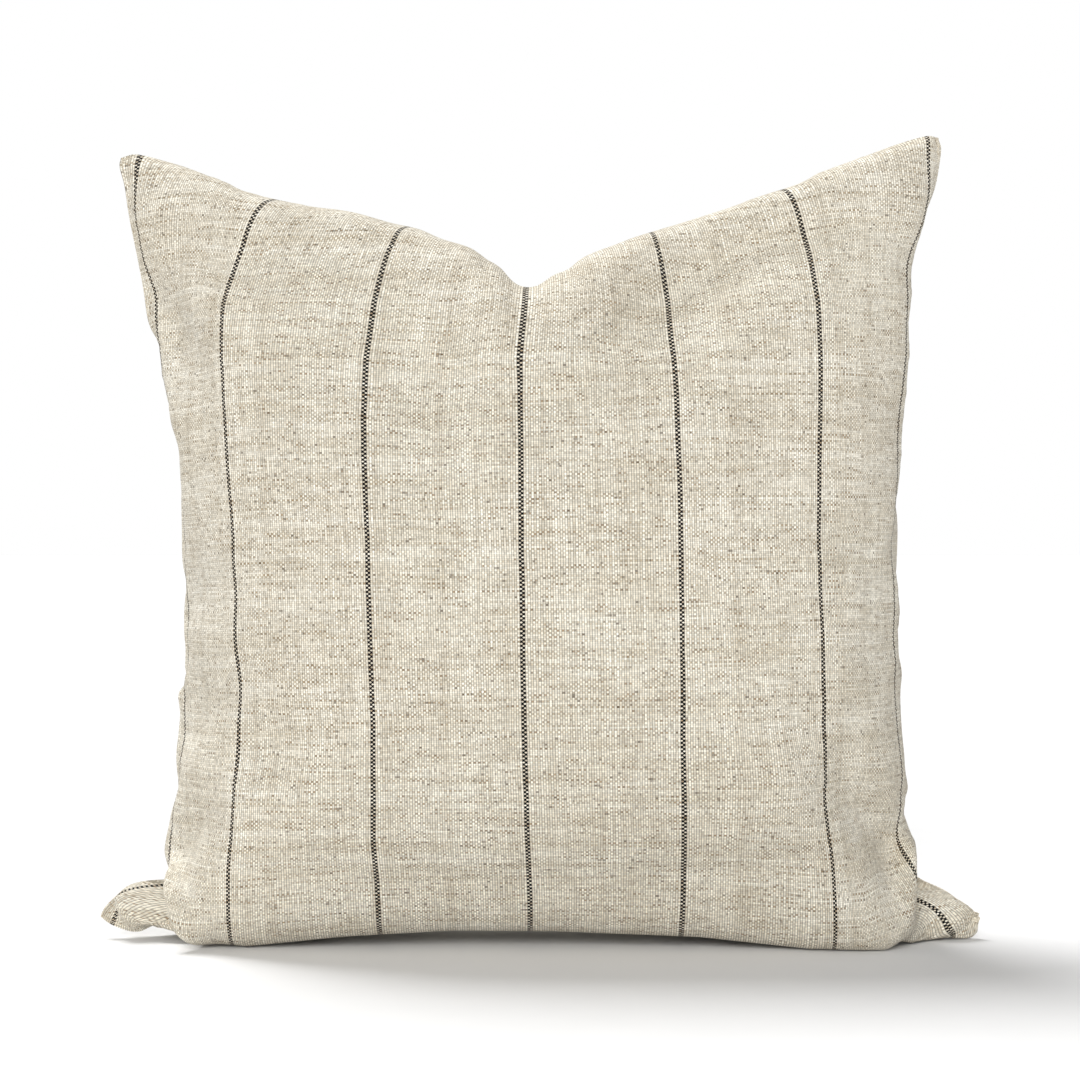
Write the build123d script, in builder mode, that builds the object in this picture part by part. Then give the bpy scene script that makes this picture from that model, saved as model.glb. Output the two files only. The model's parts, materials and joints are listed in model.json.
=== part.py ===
"""Square throw pillow, standing on its bottom edge: a sewn linen cover with an
invisible zipper in the bottom seam, around a separate feather insert.

+X is the pillow's right as seen from the front, -Y is its front and +Z is up.
The origin is on the floor, under the middle of the pillow. Millimetres.
"""

import os
from math import asin, degrees

from build123d import *

# ---------------------------------------------------------------- driving dimensions
HALF_DEPTH = 98.0  # from the seam plane to where the crown would close
FABRIC = 1.0  # wall of the linen cover
CROWN_Z = 205.0  # height of the crown, which the outlines shrink towards
SEAM_Z = 10.0  # the bottom seam and its zipper are drawn up this far off the floor
BELLY_Z = -14.0  # the fabric beside it sags this low before the floor flattens it
EAR_Z = -2.0  # and this low under the bottom corners

# The seam's outline in the XZ plane: each corner and each side's middle,
# with the direction that leads inwards from it
OUTLINE = {
    "top_left_corner": ((-241.0, 455.0), (1.7, -1.5)),
    "top_left": ((-123.0, 420.0), (-0.31, -0.95)),
    "chop": ((-5.0, 374.0), (0.0, -1.06)),
    "top_right": ((115.0, 425.0), (0.35, -0.94)),
    "top_right_corner": ((233.0, 466.0), (-1.65, -1.7)),
    "right": ((204.0, 205.0), (-1.0, 0.0)),
    "bottom_right_corner": ((251.0, 10.0), (-1.5, 1.0)),
    "bottom": ((0.0, 9.0), (0.0, 1.0)),
    "bottom_left_corner": ((-251.0, 10.0), (1.5, 1.0)),
    "left": ((-203.0, 200.0), (1.0, 0.0)),
}

DEPTH_SHARES = (0.0, 0.2, 0.45, 0.7, 0.88, 0.97, 0.993)  # where the half pillow's sections lie

ALLOWANCE = 12.0  # seam allowance turned inside the cover
ALLOWANCE_THICKNESS = 0.9
ALLOWANCE_GAP_HALF_X = 215.0  # the zipper tape takes the allowance's place here

GROOVE_TOP_HALF = 15.0  # flat roof of the groove that hides the zipper
GROOVE_FOOT_HALF = 24.0

SLIT_HALF_X = 206.0  # the opening that the zipper closes
SLIT_HALF_Y = 1.0

TAPE_WIDTH = 12.0
TAPE_THICKNESS = 0.6
TAPE_HALF_X = 210.0

TOOTH_PITCH = 3.0
TOOTH_THICKNESS = 1.2
TOOTH_REACH = 0.7  # how far a tooth passes the middle, into the other row
TOOTH_ROOT = 3.4
TOOTH_HEIGHT = 2.0
TEETH_START_X = -197.0
TEETH_END_X = 186.0

SLIDER_REST_X = 191.0  # middle of the slider with the zipper closed
SLIDER_LENGTH = 9.0
SLIDER_HALF_WIDTH = 5.2
SLIDER_WALL = 1.0
SLIDER_HEADROOM = 0.4  # above the teeth
NECK_LENGTH = 2.6
NECK_THICKNESS = 1.2
BRIDGE_THICKNESS = 1.2
BRIDGE_WIDTH = 4.8
BRIDGE_GAP = 0.6  # between the bridge and the cover
STOP_LENGTH = 2.0
STOP_GAP = 0.6

LUG_THICKNESS = 1.2
LUG_BAR = 0.9
LUG_WINDOW_X = 2.6
LUG_WINDOW_Z = 1.9
PULL_BAR_RADIUS = 0.6
PULL_LENGTH = 24.0
PULL_WIDTH = 7.0
PULL_NECK_WIDTH = 5.2
PULL_THICKNESS = 1.1
PULL_WINDOW_LENGTH = 3.0
PULL_WINDOW_WIDTH = 2.0
PULL_HOLE = 2.6
PULL_FLOOR_GAP = 0.3

THREAD_RADIUS = 0.3
CORNER_GAP = 3.0  # threads and piping break off this far from a corner
SEAM_THREAD_INSET = 4.5
STITCH_LENGTH = 2.6
STITCH_PITCH = 3.5
TAPE_STITCH_Y = 6.5

INSERT_EDGE_GAP = 13.0  # the insert stops short of the cover's seam
INSERT_GAP = 1.2  # between the cover's wall and the insert
TICKING = 0.7  # wall of the insert's cotton shell
INSERT_GROOVE_WIDER = 10.0
INSERT_GROOVE_HIGHER = 8.0
PIPING_RADIUS = 1.1

# ---------------------------------------------------------------- derived heights
TAPE_Z = SEAM_Z + FABRIC
TEETH_Z = TAPE_Z + TAPE_THICKNESS
SLIDER_INSIDE_Z = TEETH_Z + TOOTH_HEIGHT + SLIDER_HEADROOM
SLIDER_TOP_Z = SLIDER_INSIDE_Z + SLIDER_WALL
BRIDGE_TOP_Z = SEAM_Z - BRIDGE_GAP
BRIDGE_Z = BRIDGE_TOP_Z - BRIDGE_THICKNESS
PIVOT_Z = BRIDGE_Z - LUG_WINDOW_Z / 2
PULL_REST_ANGLE = degrees(asin((PIVOT_Z - PULL_THICKNESS / 2 - PULL_FLOOR_GAP) / PULL_LENGTH))


def outline_points(share, inset):
    """The outline's points at this share of the half depth, moved inwards by inset.

    Away from the seam the corners close in faster than the sides do, the chop
    fades into the top edge and the bottom sags below the floor."""
    side = (1 - share**2.2) ** 0.6
    corner = side * (0.70 + 0.30 * (1 - share) ** 2)
    belly = (1 - share**4) ** 0.6
    shrink = {
        "top_left_corner": (corner, corner),
        "top_right_corner": (corner, corner),
        "bottom_left_corner": (corner, belly * (1 - 0.3 * share**4)),
        "bottom_right_corner": (corner, belly * (1 - 0.3 * share**4)),
        "chop": (side, side * (1 + 0.33 * share**2)),
        "bottom": (side, belly),
    }
    points = {}
    for name, ((x, z), (inward_x, inward_z)) in OUTLINE.items():
        x_shrink, z_shrink = shrink.get(name, (side, side))
        if name.startswith("bottom") and share > 0:
            z = BELLY_Z if name == "bottom" else EAR_Z
        points[name] = (
            x * x_shrink + inset * inward_x,
            CROWN_Z + (z - CROWN_Z) * z_shrink + inset * inward_z,
        )
    return points


def outline_edges(share, inset):
    """Five arcs round the pillow, to be called inside a BuildLine."""
    p = outline_points(share, inset)
    ThreePointArc(p["bottom_left_corner"], p["left"], p["top_left_corner"])
    ThreePointArc(p["top_left_corner"], p["top_left"], p["chop"])
    ThreePointArc(p["chop"], p["top_right"], p["top_right_corner"])
    ThreePointArc(p["top_right_corner"], p["right"], p["bottom_right_corner"])
    ThreePointArc(p["bottom_right_corner"], p["bottom"], p["bottom_left_corner"])


def pillow_half(inset, edge_gap, groove_wider, groove_higher):
    """The front half of the pillow as a closed solid, inset from the cover's outside.

    edge_gap is the extra distance to the seam, and the last two numbers are added
    to the half width and the height of the zipper's groove."""
    with BuildPart() as half:
        for share in DEPTH_SHARES:
            with BuildSketch(Plane.XZ.offset(share * (HALF_DEPTH - inset))):
                with BuildLine():
                    outline_edges(share, inset + edge_gap * (1 - share) ** 4)
                make_face()
        loft()
        split(bisect_by=Plane.XY.offset(inset), keep=Keep.TOP)
        with BuildSketch(Plane.YZ.offset(-300)):
            with BuildLine():
                Polyline(
                    (-GROOVE_FOOT_HALF - groove_wider, -5),
                    (-GROOVE_TOP_HALF - groove_wider, SEAM_Z + groove_higher),
                    (GROOVE_TOP_HALF + groove_wider, SEAM_Z + groove_higher),
                    (GROOVE_FOOT_HALF + groove_wider, -5),
                    close=True,
                )
            make_face()
        extrude(amount=600, mode=Mode.SUBTRACT)
    return half.part


def seam_allowance():
    """The front panel's seam allowance: a flat band just inside the seam."""
    with BuildPart() as band:
        with BuildSketch(Plane.XZ):
            with BuildLine():
                outline_edges(0, 0.2)
            make_face()
            with BuildLine():
                outline_edges(0, ALLOWANCE)
            make_face(mode=Mode.SUBTRACT)
            Rectangle(2 * ALLOWANCE_GAP_HALF_X, 8 * ALLOWANCE, mode=Mode.SUBTRACT)
        extrude(amount=ALLOWANCE_THICKNESS)
    return band.part


def ring_round_outline(inset, y, radius, bottom_gap=0):
    """A thread or cord that follows the outline, inset from it, at this y.

    It breaks off for CORNER_GAP at each corner, and in the middle of the bottom
    edge for bottom_gap."""
    with BuildPart() as ring:
        with BuildLine(Plane.XZ.offset(-y)) as path:
            outline_edges(0, inset)
        for edge in path.edges():
            corner = CORNER_GAP / edge.length
            spans = [(corner, 1 - corner)]
            is_bottom = edge.center().Z < 3 * SEAM_Z
            if is_bottom and bottom_gap:
                half_gap = bottom_gap / edge.length / 2
                spans = [(corner, 0.5 - half_gap), (0.5 + half_gap, 1 - corner)]
            for start, end in spans:
                span = edge.trim(start, end)
                with BuildSketch(Plane(span.position_at(0), z_dir=span.tangent_at(0))):
                    Circle(radius)
                sweep(path=span)
    return ring.part


def tooth_row(root_y, head_y, start_x):
    """One row of zipper teeth, from root_y to their round heads at head_y."""
    count = int((TEETH_END_X - TEETH_START_X) / TOOTH_PITCH)
    length = abs(head_y - root_y)
    with BuildPart() as row:
        with BuildSketch(Plane.XY.offset(TEETH_Z)):
            for i in range(count):
                with Locations((start_x + i * TOOTH_PITCH, (root_y + head_y) / 2)):
                    SlotOverall(length, TOOTH_THICKNESS, rotation=90)
        extrude(amount=TOOTH_HEIGHT)
    return row.part


def slider():
    """The slider: a channel over the teeth, a neck through the slit and a lug outside."""
    front_x = SLIDER_REST_X + SLIDER_LENGTH / 2
    channel_z = TEETH_Z + 0.15
    with BuildPart() as body:
        with BuildSketch(Plane.YZ.offset(SLIDER_REST_X - SLIDER_LENGTH / 2)):
            with Locations((0, (channel_z + SLIDER_TOP_Z) / 2)):
                Rectangle(2 * SLIDER_HALF_WIDTH, SLIDER_TOP_Z - channel_z)
            with Locations((0, (channel_z + SLIDER_INSIDE_Z) / 2)):
                Rectangle(
                    2 * (SLIDER_HALF_WIDTH - SLIDER_WALL),
                    SLIDER_INSIDE_Z - channel_z,
                    mode=Mode.SUBTRACT,
                )
        extrude(amount=SLIDER_LENGTH)
        fillet(body.edges().filter_by(Axis.Z).group_by(Axis.Y)[0], 0.9)
        fillet(body.edges().filter_by(Axis.Z).group_by(Axis.Y)[-1], 0.9)
        fillet(body.faces().sort_by(Axis.Z)[-1].edges(), 0.4)
        with BuildSketch(Plane.XY.offset(BRIDGE_Z)):
            with Locations((SLIDER_REST_X, 0)):
                RectangleRounded(SLIDER_LENGTH, BRIDGE_WIDTH, 1.6)
        extrude(amount=BRIDGE_THICKNESS)
        with BuildSketch(Plane.XY.offset(BRIDGE_TOP_Z)):
            with Locations((front_x - NECK_LENGTH / 2, 0)):
                SlotOverall(NECK_LENGTH, NECK_THICKNESS)
        extrude(amount=SLIDER_INSIDE_Z - BRIDGE_TOP_Z)
        with BuildSketch(Plane.XZ.offset(-LUG_THICKNESS / 2)):
            with Locations((SLIDER_REST_X, PIVOT_Z)):
                Rectangle(LUG_WINDOW_X + 2 * LUG_BAR, LUG_WINDOW_Z + 2 * LUG_BAR)
                Rectangle(LUG_WINDOW_X, LUG_WINDOW_Z, mode=Mode.SUBTRACT)
        extrude(amount=LUG_THICKNESS)
    return body.part


def pull_tab():
    """The pull, lying along -X from its bar at the origin."""
    with BuildPart() as tab:
        with BuildSketch(Plane.XY.offset(-PULL_THICKNESS / 2)) as plan:
            with BuildLine():
                Polyline(
                    (0, PULL_NECK_WIDTH / 2),
                    (-PULL_LENGTH / 3, PULL_NECK_WIDTH / 2),
                    (-PULL_LENGTH / 2, PULL_WIDTH / 2),
                    (-PULL_LENGTH, PULL_WIDTH / 2),
                    (-PULL_LENGTH, -PULL_WIDTH / 2),
                    (-PULL_LENGTH / 2, -PULL_WIDTH / 2),
                    (-PULL_LENGTH / 3, -PULL_NECK_WIDTH / 2),
                    (0, -PULL_NECK_WIDTH / 2),
                    close=True,
                )
            make_face()
            fillet(plan.vertices().group_by(Axis.X)[0], 2.2)
            with Locations((-PULL_WINDOW_LENGTH / 2 - PULL_BAR_RADIUS / 2, 0)):
                Rectangle(
                    PULL_WINDOW_LENGTH + PULL_BAR_RADIUS,
                    PULL_WINDOW_WIDTH,
                    mode=Mode.SUBTRACT,
                )
            with Locations((-PULL_LENGTH + PULL_HOLE * 1.4, 0)):
                Circle(PULL_HOLE / 2, mode=Mode.SUBTRACT)
        extrude(amount=PULL_THICKNESS)
        with BuildSketch(Plane.XZ.offset(-PULL_NECK_WIDTH / 2)):
            Circle(PULL_BAR_RADIUS)
        extrude(amount=PULL_NECK_WIDTH)
    return tab.part


def export_piece(piece, name):
    piece.label = name
    export_step(piece, f"parts/{name}.step")
    print(f"{name}: {len(piece.solids())} solids, {piece.volume:.0f} mm3")


os.makedirs("parts", exist_ok=True)

# ---------------------------------------------------------------- linen cover
cover_outside = pillow_half(0, 0, 0, 0)
cover_inside = pillow_half(FABRIC, 0, FABRIC, FABRIC)

with BuildPart() as cover_front:
    add(cover_outside)
    add(cover_inside, mode=Mode.SUBTRACT)
    add(seam_allowance() & cover_outside)
    with Locations((0, 0, SEAM_Z)):
        Box(2 * SLIT_HALF_X, 2 * SLIT_HALF_Y, 4 * FABRIC, mode=Mode.SUBTRACT)

with BuildPart() as cover_back:
    add(cover_front.part)
    mirror(about=Plane.XZ, mode=Mode.REPLACE)

export_piece(cover_front.part, "cover_front")
export_piece(cover_back.part, "cover_back")

# ---------------------------------------------------------------- cover's seam threads
thread_y = ALLOWANCE_THICKNESS + THREAD_RADIUS
seam_thread_front = ring_round_outline(
    SEAM_THREAD_INSET, -thread_y, THREAD_RADIUS, 2 * ALLOWANCE_GAP_HALF_X
)

with BuildPart() as seam_thread_back:
    add(seam_thread_front)
    mirror(about=Plane.XZ, mode=Mode.REPLACE)

export_piece(seam_thread_front, "seam_thread_front")
export_piece(seam_thread_back.part, "seam_thread_back")

# ---------------------------------------------------------------- zipper
with BuildPart() as zipper_tape_front:
    with Locations((0, -SLIT_HALF_Y - TAPE_WIDTH / 2, TAPE_Z + TAPE_THICKNESS / 2)):
        Box(2 * TAPE_HALF_X, TAPE_WIDTH, TAPE_THICKNESS)

with BuildPart() as zipper_tape_back:
    add(zipper_tape_front.part)
    mirror(about=Plane.XZ, mode=Mode.REPLACE)

teeth_front = tooth_row(-TOOTH_ROOT, TOOTH_REACH, TEETH_START_X)
teeth_back = tooth_row(TOOTH_ROOT, -TOOTH_REACH, TEETH_START_X + TOOTH_PITCH / 2)

stop_front_x = SLIDER_REST_X + SLIDER_LENGTH / 2 + STOP_GAP
with BuildPart() as zipper_top_stops:
    for y_side in (-1, 1):
        with Locations((stop_front_x + STOP_LENGTH / 2, y_side * 3, TEETH_Z + 1)):
            Box(STOP_LENGTH, 3.2, 2)
    fillet(zipper_top_stops.edges().filter_by(Axis.X), 0.4)

with BuildPart() as zipper_bottom_stop:
    with Locations((TEETH_START_X - STOP_LENGTH / 2 - STOP_GAP, 0, TEETH_Z + 1)):
        Box(STOP_LENGTH, 8, 2)
    fillet(zipper_bottom_stop.edges().filter_by(Axis.X), 0.4)

with BuildPart() as zipper_stitching:
    stitch_count = int(2 * TAPE_HALF_X / STITCH_PITCH) - 1
    for y_side in (-1, 1):
        for i in range(stitch_count):
            stitch_x = (i - (stitch_count - 1) / 2) * STITCH_PITCH
            with Locations((stitch_x, y_side * TAPE_STITCH_Y, SEAM_Z - THREAD_RADIUS)):
                Cylinder(THREAD_RADIUS, STITCH_LENGTH, rotation=(0, 90, 0))

zipper_slider = slider()

with BuildPart() as zipper_pull:
    with Locations(Location((SLIDER_REST_X, 0, PIVOT_Z), (0, -PULL_REST_ANGLE, 0))):
        add(pull_tab())

export_piece(zipper_tape_front.part, "zipper_tape_front")
export_piece(zipper_tape_back.part, "zipper_tape_back")
export_piece(teeth_front, "zipper_teeth_front")
export_piece(teeth_back, "zipper_teeth_back")
export_piece(zipper_top_stops.part, "zipper_top_stops")
export_piece(zipper_bottom_stop.part, "zipper_bottom_stop")
export_piece(zipper_stitching.part, "zipper_stitching")
export_piece(zipper_slider, "zipper_slider")
export_piece(zipper_pull.part, "zipper_pull")

# ---------------------------------------------------------------- feather insert
insert_outside = pillow_half(
    FABRIC + INSERT_GAP,
    INSERT_EDGE_GAP,
    FABRIC + INSERT_GROOVE_WIDER,
    FABRIC + INSERT_GROOVE_HIGHER,
)
fill_half = pillow_half(
    FABRIC + INSERT_GAP + TICKING,
    INSERT_EDGE_GAP,
    FABRIC + INSERT_GROOVE_WIDER + TICKING,
    FABRIC + INSERT_GROOVE_HIGHER + TICKING,
)

insert_piping = ring_round_outline(
    FABRIC + INSERT_GAP + INSERT_EDGE_GAP - PIPING_RADIUS - 0.3, 0, PIPING_RADIUS
)

with BuildPart() as insert_shell_front:
    add(insert_outside)
    add(fill_half, mode=Mode.SUBTRACT)
    add(insert_piping, mode=Mode.SUBTRACT)

with BuildPart() as insert_shell_back:
    add(insert_shell_front.part)
    mirror(about=Plane.XZ, mode=Mode.REPLACE)

with BuildPart() as feather_fill:
    add(fill_half)
    mirror(about=Plane.XZ)
    add(insert_piping, mode=Mode.SUBTRACT)

export_piece(insert_shell_front.part, "insert_shell_front")
export_piece(insert_shell_back.part, "insert_shell_back")
export_piece(feather_fill.part, "feather_fill")
export_piece(insert_piping, "insert_piping")
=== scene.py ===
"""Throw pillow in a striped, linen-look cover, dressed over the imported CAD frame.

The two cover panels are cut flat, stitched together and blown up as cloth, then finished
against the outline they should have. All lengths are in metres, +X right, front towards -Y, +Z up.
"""
import json
import math

import bpy
import numpy as np
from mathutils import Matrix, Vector

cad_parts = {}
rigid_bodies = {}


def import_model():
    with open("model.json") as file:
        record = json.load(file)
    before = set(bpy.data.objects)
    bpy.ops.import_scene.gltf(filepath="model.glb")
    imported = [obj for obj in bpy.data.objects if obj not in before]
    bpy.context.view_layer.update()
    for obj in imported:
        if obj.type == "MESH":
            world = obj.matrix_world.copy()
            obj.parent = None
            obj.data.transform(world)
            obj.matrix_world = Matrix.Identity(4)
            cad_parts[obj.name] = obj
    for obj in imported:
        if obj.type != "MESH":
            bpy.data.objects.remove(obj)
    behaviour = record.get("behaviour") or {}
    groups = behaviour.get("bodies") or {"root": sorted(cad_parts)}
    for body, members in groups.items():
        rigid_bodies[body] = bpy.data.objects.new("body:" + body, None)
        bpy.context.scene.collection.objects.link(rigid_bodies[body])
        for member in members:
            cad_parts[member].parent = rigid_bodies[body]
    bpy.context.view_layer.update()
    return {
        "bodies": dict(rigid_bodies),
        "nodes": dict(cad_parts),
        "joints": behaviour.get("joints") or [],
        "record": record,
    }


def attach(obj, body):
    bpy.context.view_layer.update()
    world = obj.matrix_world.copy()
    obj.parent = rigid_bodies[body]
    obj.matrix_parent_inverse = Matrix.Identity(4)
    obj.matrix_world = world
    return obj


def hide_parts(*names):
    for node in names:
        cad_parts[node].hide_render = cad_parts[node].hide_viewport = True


MM = 0.001

# Cover panels
PANEL = 0.508            # side of the square that each cover panel is sewn to
CELLS = 52               # cells along the side of a simulated panel
FINER = 2                # times that each simulated panel is halved into finer cells
CORNER_CUT = 3.5 * MM    # how far the sewn corners are rounded off
CLOTH = 1.0 * MM         # thickness of the cover fabric
DEPTH_SHARE = 0.90       # share of the simulated depth that is kept

# Seam
ALLOWANCE = 12 * MM      # fabric turned in behind the seam
SEAM_RIM = 0.45 * MM     # half the open groove between the two panels at the seam
STITCH_INSET = 4.5 * MM  # how far inside the seam the thread runs
STITCH_CORNER = 1.8 * MM  # and at the corners
TRIM_REACH = 50 * MM     # how near to a corner the allowance and the thread draw closer to the seam
THREAD_RADIUS = 0.3 * MM
THREAD_LIFT = 0.25 * MM  # how far the middle of the thread is above the fabric
THREAD_STEP = 0.7 * MM
STITCH_LENGTH = 2.8 * MM
STITCH_SWELL = 0.45      # share of its radius by which the thread thins between stitches
SEAM_STEADY = 3 * MM     # weight of the plain direction across the seam line in the one found

# Zipper slot in the underside
SLOT_HALF = 206 * MM     # half the length of the slot
SLOT_FADE = 10 * MM      # length over which the slot closes
SLOT_GAP = 1.0 * MM      # half the width of the slot
ROOF = 10 * MM           # height of the recess over the zipper pull
ROOF_WIDTH = 13 * MM     # flat fabric each side of the slot
FOOT_AT = 26 * MM        # distance from the slot, along the fabric, of the lowest point
FOOT_END = 74 * MM       # distance from the slot at which the body takes over

# Insert
TICKING = 0.7 * MM
INSERT_ALLOWANCE = 6 * MM
INSERT_RIM = 0.2 * MM    # half the groove between its two panels at the seam
PIPING_RADIUS = 1.0 * MM
PIPING_OUT = 0.7 * MM    # how far the middle of the piping is outside the insert seam
FILL_GAP = 0.5 * MM      # air between the ticking and the feathers
INSERT_INSET = 13 * MM   # insert seam inside the cover seam
INSERT_CORNER = 20 * MM  # how far its corners stay out of the cover's corners
INSERT_GAP = 1.1 * MM    # air between cover and insert
INSERT_ROOF = 19 * MM    # lowest height of the insert above the zipper
INSERT_CELLS = 104
INSERT_SHARE = (0.955, 0.975, 0.96)  # its size in X, Y and Z against the inside of the cover
INSERT_LIFT = 8 * MM
INSERT_EDGE = 22 * MM    # width over which its edge rounds down to its seam
INSERT_WAIST = 150 * MM  # at the bottom, what lies beyond this across is drawn in
INSERT_FOOT = 0.60       # to this share of itself
INSERT_FOOT_AT = (45, 60)
INSERT_ROOF_WIDTH = (14, 14)  # the height over the zipper ends here, over this ramp
INSERT_ROOF_ENDS = (222, 12)
INSERT_LOWEST = 2.5 * MM

# Stripes and weave
STRIPE_REPEAT = 62.0     # warp threads from one stripe to the next
STRIPE_THREADS = 2.0     # black warp threads in a stripe
WARP = 80 * MM / STRIPE_REPEAT
WEFT = 1.13 * MM         # spacing of the weft threads
STRIPE_AT = -5 * MM      # centre of the middle stripe on the flat panel

# Camera
EYE_DISTANCE = 1.30
EYE_HEIGHT = 0.2296
VIEW_WIDTH = 0.6232      # width of the view in the plane of the seam
FLOOR_REACH = 30.0


# ---------------------------------------------------------------- simulation

# Seam outline in millimetres: the _AT rows are places on the flat panel, up its sides or across,
# and the pairs are the X and Z they come to. The side points are spread from SIDE_FROM to SIDE_TO.
EAR_AT = (0, 10, 20, 30, 40, 52, 62)
LEFT_EAR = ((-252, 12), (-250, 21), (-243, 29), (-234, 33), (-224, 34), (-214, 34), (-203, 30))
RIGHT_EAR = ((252, 8), (249, 16), (243, 22), (234, 28), (225, 33), (216, 40), (204, 40))
LEFT_SIDE = (
    (-216, 42), (-213, 68), (-211, 103), (-207, 137), (-204, 183), (-205, 230),
    (-210, 276), (-217, 322), (-228, 368), (-233, 391), (-240, 426), (-241, 455),
)
RIGHT_SIDE = (
    (214, 44), (213, 68), (209.7, 103), (208, 137), (206.9, 172), (205.7, 206), (205.7, 230),
    (207.4, 276), (208.6, 322), (213.8, 345), (215.5, 368), (217, 403), (224.7, 426),
    (230.5, 449), (233, 466),
)
SIDE_FROM, SIDE_TO = 80, 508
TOP_AT = (-254, -244, -5, 244, 254)
TOP_EDGE = ((-239.5, 452.5), (-231, 452), (-5.5, 368), (225, 461), (232, 463))
BOTTOM_AT = (-254, -244, -230, -215, 0, 215, 230, 243, 254)
BOTTOM_EDGE = (
    (-250, 13), (-244, 7), (-230, 5.5), (-214, 9), (0, 10.5), (214, 8), (229, 3), (240, 6), (250, 14),
)
TUCK_AT = 62 * MM        # height on the flat panel where the bottom corners are folded in
EDGE_HOLD = 0.3          # how hard the side and top seams are held to the outline
BOTTOM_HOLD = 0.8        # how hard the bottom seam is held

# The blade that chops the top edge: half its edge in millimetres, and its height at some frames
CHOP = ((0, 0), (8, 5), (20, 14.5), (36, 25), (56, 34), (90, 45), (140, 58))
CHOP_AT = -5.5 * MM
CHOP_REACH = 0.2         # how far the blade and the ground below reach, in metres
GROUND_REACH = 1.5
CHOP_FALL = ((1, 0.60), (5, 0.53), (35, 0.370))

FRAMES = 70
SEWN_BY = 25             # frame at which the seam has reached its outline
START_LIFT = 4 * MM      # how far each flat panel bulges at the start
START_HEIGHT = 9 * MM
FLOOR_AIR = 0.3 * MM     # least height of the fabric above the floor
EMPTY_CORNER = 20 * MM   # no pressure nearer to a corner than this
PRESSURE_RAMP = 40 * MM  # distance over which the pressure comes in


def points_at(places, known, points):
    """X and Z in metres at places, along a line through points that are known at given places."""
    points = np.array(points, float)
    x = np.interp(places, known, points[:, 0])
    z = np.interp(places, known, points[:, 1])
    return np.stack([x, np.zeros_like(x), z], axis=-1) * MM


def distances(path):
    """How far along a line each of its points is."""
    steps = np.linalg.norm(np.diff(path, axis=0), axis=-1)
    return np.concatenate([[0], np.cumsum(steps)])


def spread(points, start, end):
    """Places from start to end for points, in proportion to the distance between them."""
    travelled = distances(np.array(points, float))
    return start + (end - start) * travelled / travelled[-1]


def from_corner(flat):
    """How far places on the flat panel are from its nearest corner."""
    return np.hypot(*np.moveaxis(PANEL / 2 - np.abs(flat - (0, PANEL / 2)), -1, 0))


def panel_indices():
    """Vertex numbers of the front and back grids, which share their outer ring."""
    count = CELLS + 1
    front = np.arange(count * count).reshape(count, count)
    back = front.copy()
    inside = count - 2
    back[1:-1, 1:-1] = count * count + np.arange(inside * inside).reshape(inside, inside)
    return front, back


def flat_grid(count):
    """Flat pattern coordinates of a square grid: u across from the middle, v up from the bottom."""
    u, v = np.meshgrid(np.linspace(-PANEL / 2, PANEL / 2, count), np.linspace(0, PANEL, count))
    return np.stack([u, v], axis=-1)


def seam_targets(flat):
    """Where each seam vertex should end, and how hard it is held, on a grid of the flat panel."""
    u, v = flat[..., 0] / MM, flat[..., 1] / MM
    target = np.stack([flat[..., 0], np.zeros_like(u), flat[..., 1]], axis=-1)
    hold = np.zeros_like(u)
    for column, ear, side in ((0, LEFT_EAR, LEFT_SIDE), (-1, RIGHT_EAR, RIGHT_SIDE)):
        known = np.concatenate([EAR_AT, spread(side, SIDE_FROM, SIDE_TO)])
        target[:, column] = points_at(v[:, column], known, ear + side)
        hold[:, column] = EDGE_HOLD
    target[-1] = points_at(u[-1], TOP_AT, TOP_EDGE)
    hold[-1] = EDGE_HOLD
    target[0] = points_at(u[0], BOTTOM_AT, BOTTOM_EDGE)
    hold[0] = BOTTOM_HOLD
    tuck = np.argmin(np.abs(flat[:, 0, 1] - TUCK_AT))
    for row in (0, -1, tuck):
        hold[row, 0] = hold[row, -1] = 1.0
    return target, hold


def weighted_group(piece, name, weights):
    """A vertex group from an array of weights."""
    group = piece.vertex_groups.new(name=name)
    for number, weight in enumerate(weights):
        if weight > 0:
            group.add([number], float(weight), "REPLACE")


def cloth_settings(piece):
    """Light, hardly stretching cloth that is blown up from inside."""
    modifier = piece.modifiers.new("cloth", "CLOTH")
    cloth = modifier.settings
    cloth.quality = 5
    cloth.mass = 0.02
    cloth.air_damping = 1.0
    cloth.tension_stiffness = 400
    cloth.compression_stiffness = 400
    cloth.shear_stiffness = 40
    cloth.bending_stiffness = 0.3
    cloth.tension_damping = 10
    cloth.compression_damping = 10
    cloth.shear_damping = 10
    cloth.bending_damping = 2
    cloth.bending_model = "ANGULAR"
    cloth.vertex_group_mass = "held"
    cloth.pin_stiffness = 6
    cloth.use_pressure = True
    cloth.uniform_pressure_force = 30
    cloth.pressure_factor = 1
    cloth.fluid_density = 3
    cloth.vertex_group_pressure = "filled"
    cloth.effector_weights.gravity = 0.3
    touch = modifier.collision_settings
    touch.use_collision = True
    touch.distance_min = 3 * MM
    touch.collision_quality = 4
    touch.use_self_collision = False
    modifier.point_cache.frame_start = 1
    modifier.point_cache.frame_end = FRAMES


def linked(name, data):
    """A new object in the scene."""
    piece = bpy.data.objects.new(name, data)
    bpy.context.scene.collection.objects.link(piece)
    return piece


def collider(name, points, faces, friction, thickness, one_sided):
    """A plain sheet that the cloth rests on or is pressed by."""
    mesh = bpy.data.meshes.new(name)
    mesh.from_pydata(points, [], faces)
    piece = linked(name, mesh)
    bpy.context.view_layer.objects.active = piece
    piece.modifiers.new("collision", "COLLISION")
    piece.collision.use_culling = one_sided
    piece.collision.thickness_outer = thickness
    piece.collision.cloth_friction = friction
    return piece


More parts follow.
